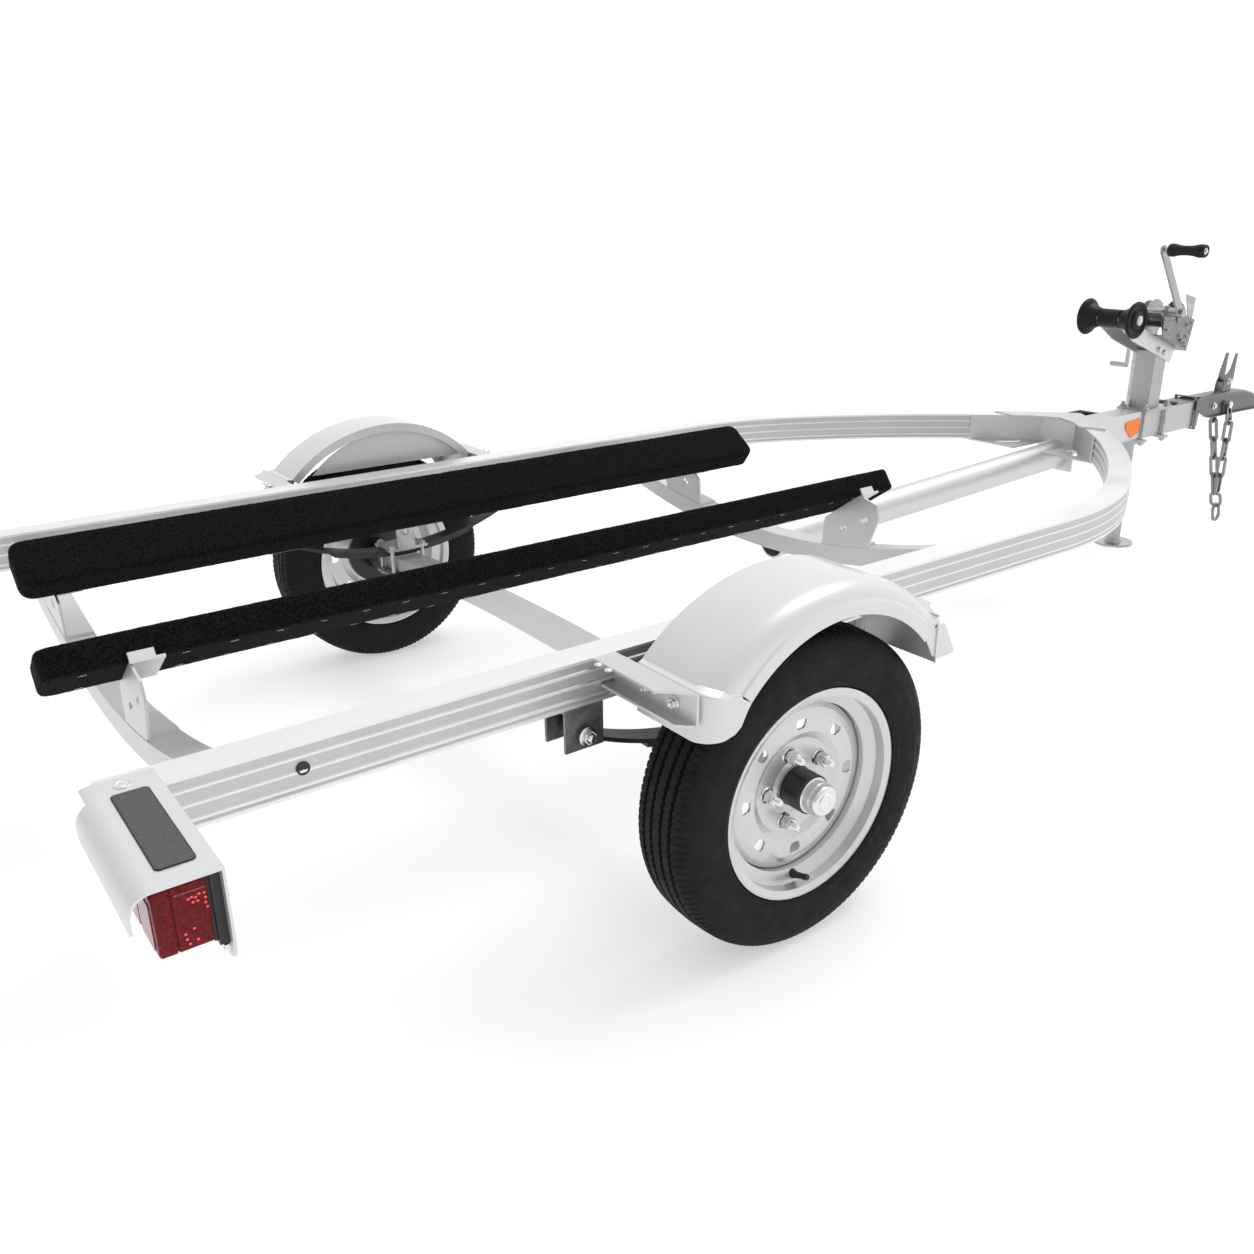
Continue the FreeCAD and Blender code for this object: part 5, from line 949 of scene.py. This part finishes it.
# Coupler and its latch.
def coupler():
    """The tapered pressing with its lip, top plate, strap and latch lugs, and its bolts."""
    neck, nose, wide, reach, plate = 1.452, 1.824, 0.0455, 0.0456, 0.003
    tops = ((neck, 0.4735), (1.60, 0.4735), (1.694, 0.4715), (1.774, 0.4665), (1.818, 0.4560),
            (1.845, 0.4385), (1.862, 0.4200), (1.8700, 0.4110))
    feet = ((neck, 0.440), (1.475, 0.430), (1.505, 0.412), (1.54, 0.4075), (1.62, 0.4075),
            (1.72, 0.4085), (1.88, 0.4085))
    halves = ((neck, 0.0345), (1.62, 0.0350), (1.74, 0.0400), (1.80, 0.0440), (nose, wide))
    stations = [neck + 0.0186 * i for i in range(21)]
    stations += [nose + wide * math.sin(math.pi / 2 * i / 12) for i in range(1, 13)]
    rows = []
    for x in stations:
        half, top, foot = (blend_at(table, x) for table in (halves, tops, feet))
        if x > nose:
            half = wide * math.sqrt(max(0.0, 1 - ((x - nose) / reach) ** 2))
        lip = 0.0105 * min(1.0, max(0.0, (x - 1.47) / 0.03))
        rim = x + (lip if x > 1.83 else 0) * (x - nose) / reach
        row = [Vector((rim, half + lip, foot))]
        for i in range(17):
            a = math.pi * i / 16
            c, s = math.cos(a), math.sin(a)
            y = half * math.copysign(abs(c) ** 0.5, c)
            row.append(Vector((x, y, foot + 0.0002 + (top - foot) * s ** 0.5)))
        row.append(Vector((rim, -half - lip, foot)))
        rows.append(row)
    bm = bmesh.new()
    grid(bm, rows)
    bmesh.ops.remove_doubles(bm, verts=bm.verts, dist=0.00002)
    face_outwards(bm, lambda p: Vector((max(0, p.x - 1.80), p.y, p.z - 0.40)))
    shell(bm, 0.0024)
    slab(bm, [(1.336, -0.034, 0.4663), (1.462, -0.034, 0.4663), (1.462, 0.034, 0.4663),
              (1.336, 0.034, 0.4663)], plate)
    lathe(bm, across(1.336, -0.034, 0.4713),
          [(0, 0.0), (0, 0.0042), (0.0008, 0.0050), (0.0672, 0.0050), (0.068, 0.0042),
           (0.068, 0.0)], 24)
    x0, x1, half, low, high = 1.447, 1.461, 0.0375, 0.3790, 0.4775
    for y in (-half, half - plate):
        slab(bm, [(x0, y, low), (x1, y, low), (x1, y, high), (x0, y, high)], -plate)
    for z in (low, high - plate):
        slab(bm, [(x0, -half, z), (x1, -half, z), (x1, half, z), (x0, half, z)], plate)
    for y in (-0.013, 0.010):
        slab(bm, [(1.642, y, 0.466), (1.642, y, 0.492), (1.652, y, 0.512), (1.676, y, 0.514),
                  (1.694, y, 0.500), (1.694, y, 0.466)], plate)
    body = piece("coupler_pressing", bm, "pressed", "chassis", 32)
    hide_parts("coupler")

    bm = bmesh.new()
    lathe(bm, across(1.634, -0.0545, 0.436),
          [(0, 0.0), (0, 0.0100), (0.0008, 0.0110), (0.0046, 0.0110), (0.0046, 0.0060),
           (0.0990, 0.0060), (0.0990, 0.0110), (0.1036, 0.0110), (0.1036, 0.0)], 24)
    hex_bolt(bm, (1.562, -0.0352, 0.438), (0, -1, 0), 0.0075, 0.005)
    hex_bolt(bm, (LATCH_X, -0.0154, LATCH_Z), (0, -1, 0), 0.0070, 0.005, 0.003)
    hex_bolt(bm, (LATCH_X, 0.0154, LATCH_Z), (0, 1, 0), 0.0070, 0.005)
    piece("coupler_bolts", bm, "steel", "chassis", 32)


def latch():
    """Two lever plates, the left one with a toothed back, on one pin."""
    right_y, left_y, thick = -0.0154, 0.0132, 0.0022
    bm = bmesh.new()
    slab(bm, [(x, right_y, z) for x, z in
              ((1.640, 0.4910), (1.636, 0.5236), (1.6516, 0.5290), (1.6671, 0.5415),
               (1.6840, 0.5890), (1.6970, 0.5890), (1.6960, 0.5100), (1.6880, 0.4910))], thick)
    teeth = []
    for i in range(5):
        x, z = 1.6640 + 0.0040 * i, 0.5330 + 0.0110 * i
        teeth += [(x, z), (x - 0.0030, z + 0.0045)]
    slab(bm, [(x, left_y, z) for x, z in
              [(1.654, 0.4925), (1.660, 0.5276)] + teeth +
              [(1.6850, 0.5890), (1.6970, 0.5870), (1.6960, 0.5300), (1.6930, 0.4925)]], thick)
    lathe(bm, across(LATCH_X, -0.0150, LATCH_Z),
          [(0, 0.0), (0, 0.0055), (0.030, 0.0055), (0.030, 0.0)], 20)
    lever = piece("latch_lever", bm, "pressed", "chassis", 30)
    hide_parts("coupler_latch")


coupler()
latch()


# Bolts, rivets and plugs on the chassis.
def fixings():
    """Rivets and bolts of the fender arms, bolts of the spring hangers, and rail plugs."""
    bm = bmesh.new()
    for _, side in SIDES:
        for end in (-1, 1):
            for y in (0.632, 0.655):
                dome(bm, on(side, AXLE + end * 0.280, y, RAIL_TOP), (0, 0, 1), 0.006, 0.003)
            for y, r in ((0.684, 0.0052), (0.744, 0.0072)):
                hex_bolt(bm, on(side, AXLE + end * 0.238, y, 0.460), (end, 0, 0), r, 0.005, 0.004)
        for x in (AXLE - 0.29, AXLE + 0.29):
            for y, way in ((0.549, -1), (0.617, 1)):
                hex_bolt(bm, on(side, x, y, 0.376), (0, side * way, 0), 0.0095, 0.007, 0.005)
    piece("fixings_chassis", bm, "steel", "chassis", 35)

    bm = bmesh.new()
    for _, side in SIDES:
        lathe(bm, frame_at(on(side, AXLE - 0.689, 0.6065, 0.453), (0, side, 0)),
              [(0, 0), (0.0, 0.0085), (0.0016, 0.0085), (0.0022, 0.0072), (0.0014, 0.0055),
               (0.0008, 0.0)], 28)
    piece("rail_plugs", bm, "black", "chassis", 35)


fixings()


# Floor and light.
def stage():
    """A white floor with a faint glow, a sky that is brighter towards one side, and a key sun."""
    bm = bmesh.new()
    far = 40
    bm.faces.new([bm.verts.new((x, y, 0)) for x, y in
                  ((-far, -far), (far, -far), (far, far), (-far, far))])
    mesh = bpy.data.meshes.new("floor")
    bm.to_mesh(mesh)
    bm.free()
    m, _, _ = tree("floor_white", (FLOOR_TONE,) * 3, 0.9, Specular_IOR_Level=0.0,
                   Emission_Color=(1, 1, 1, 1), Emission_Strength=FLOOR_GLOW)
    mesh.materials.append(m)
    floor = bpy.data.objects.new("floor", mesh)
    bpy.context.scene.collection.objects.link(floor)

    world = bpy.data.worlds.new("studio")
    bpy.context.scene.world = world
    world.use_nodes = True
    t = world.node_tree
    t.nodes.clear()
    out = t.nodes.new("ShaderNodeOutputWorld")
    soft = t.nodes.new("ShaderNodeBackground")
    seen = t.nodes.new("ShaderNodeBackground")
    way = t.nodes.new("ShaderNodeTexCoord")
    dot = t.nodes.new("ShaderNodeVectorMath")
    dot.operation = "DOT_PRODUCT"
    dot.inputs[1].default_value = Vector(LIGHT_FROM).normalized()
    t.links.new(way.outputs["Generated"], dot.inputs[0])
    t.links.new(spread(t, dot.outputs["Value"], SKY_DARK, SKY_BRIGHT, -0.8, 0.8),
                soft.inputs["Strength"])
    soft.inputs["Color"].default_value = (0.985, 0.99, 1.0, 1)
    seen.inputs["Color"].default_value = (1, 1, 1, 1)
    seen.inputs["Strength"].default_value = SKY_SEEN
    mix = t.nodes.new("ShaderNodeMixShader")
    path = t.nodes.new("ShaderNodeLightPath")
    t.links.new(path.outputs["Is Camera Ray"], mix.inputs["Fac"])
    t.links.new(soft.outputs[0], mix.inputs[1])
    t.links.new(seen.outputs[0], mix.inputs[2])
    t.links.new(mix.outputs[0], out.inputs["Surface"])

    data = bpy.data.lights.new("key", "SUN")
    data.energy = SUN
    data.angle = math.radians(SUN_WIDTH)
    key = bpy.data.objects.new("key", data)
    key.matrix_world = (-Vector(SUN_FROM)).to_track_quat("-Z", "Y").to_matrix().to_4x4()
    bpy.context.scene.collection.objects.link(key)
    bpy.context.scene.view_settings.view_transform = "Standard"
    bpy.context.scene.view_settings.look = "None"


stage()
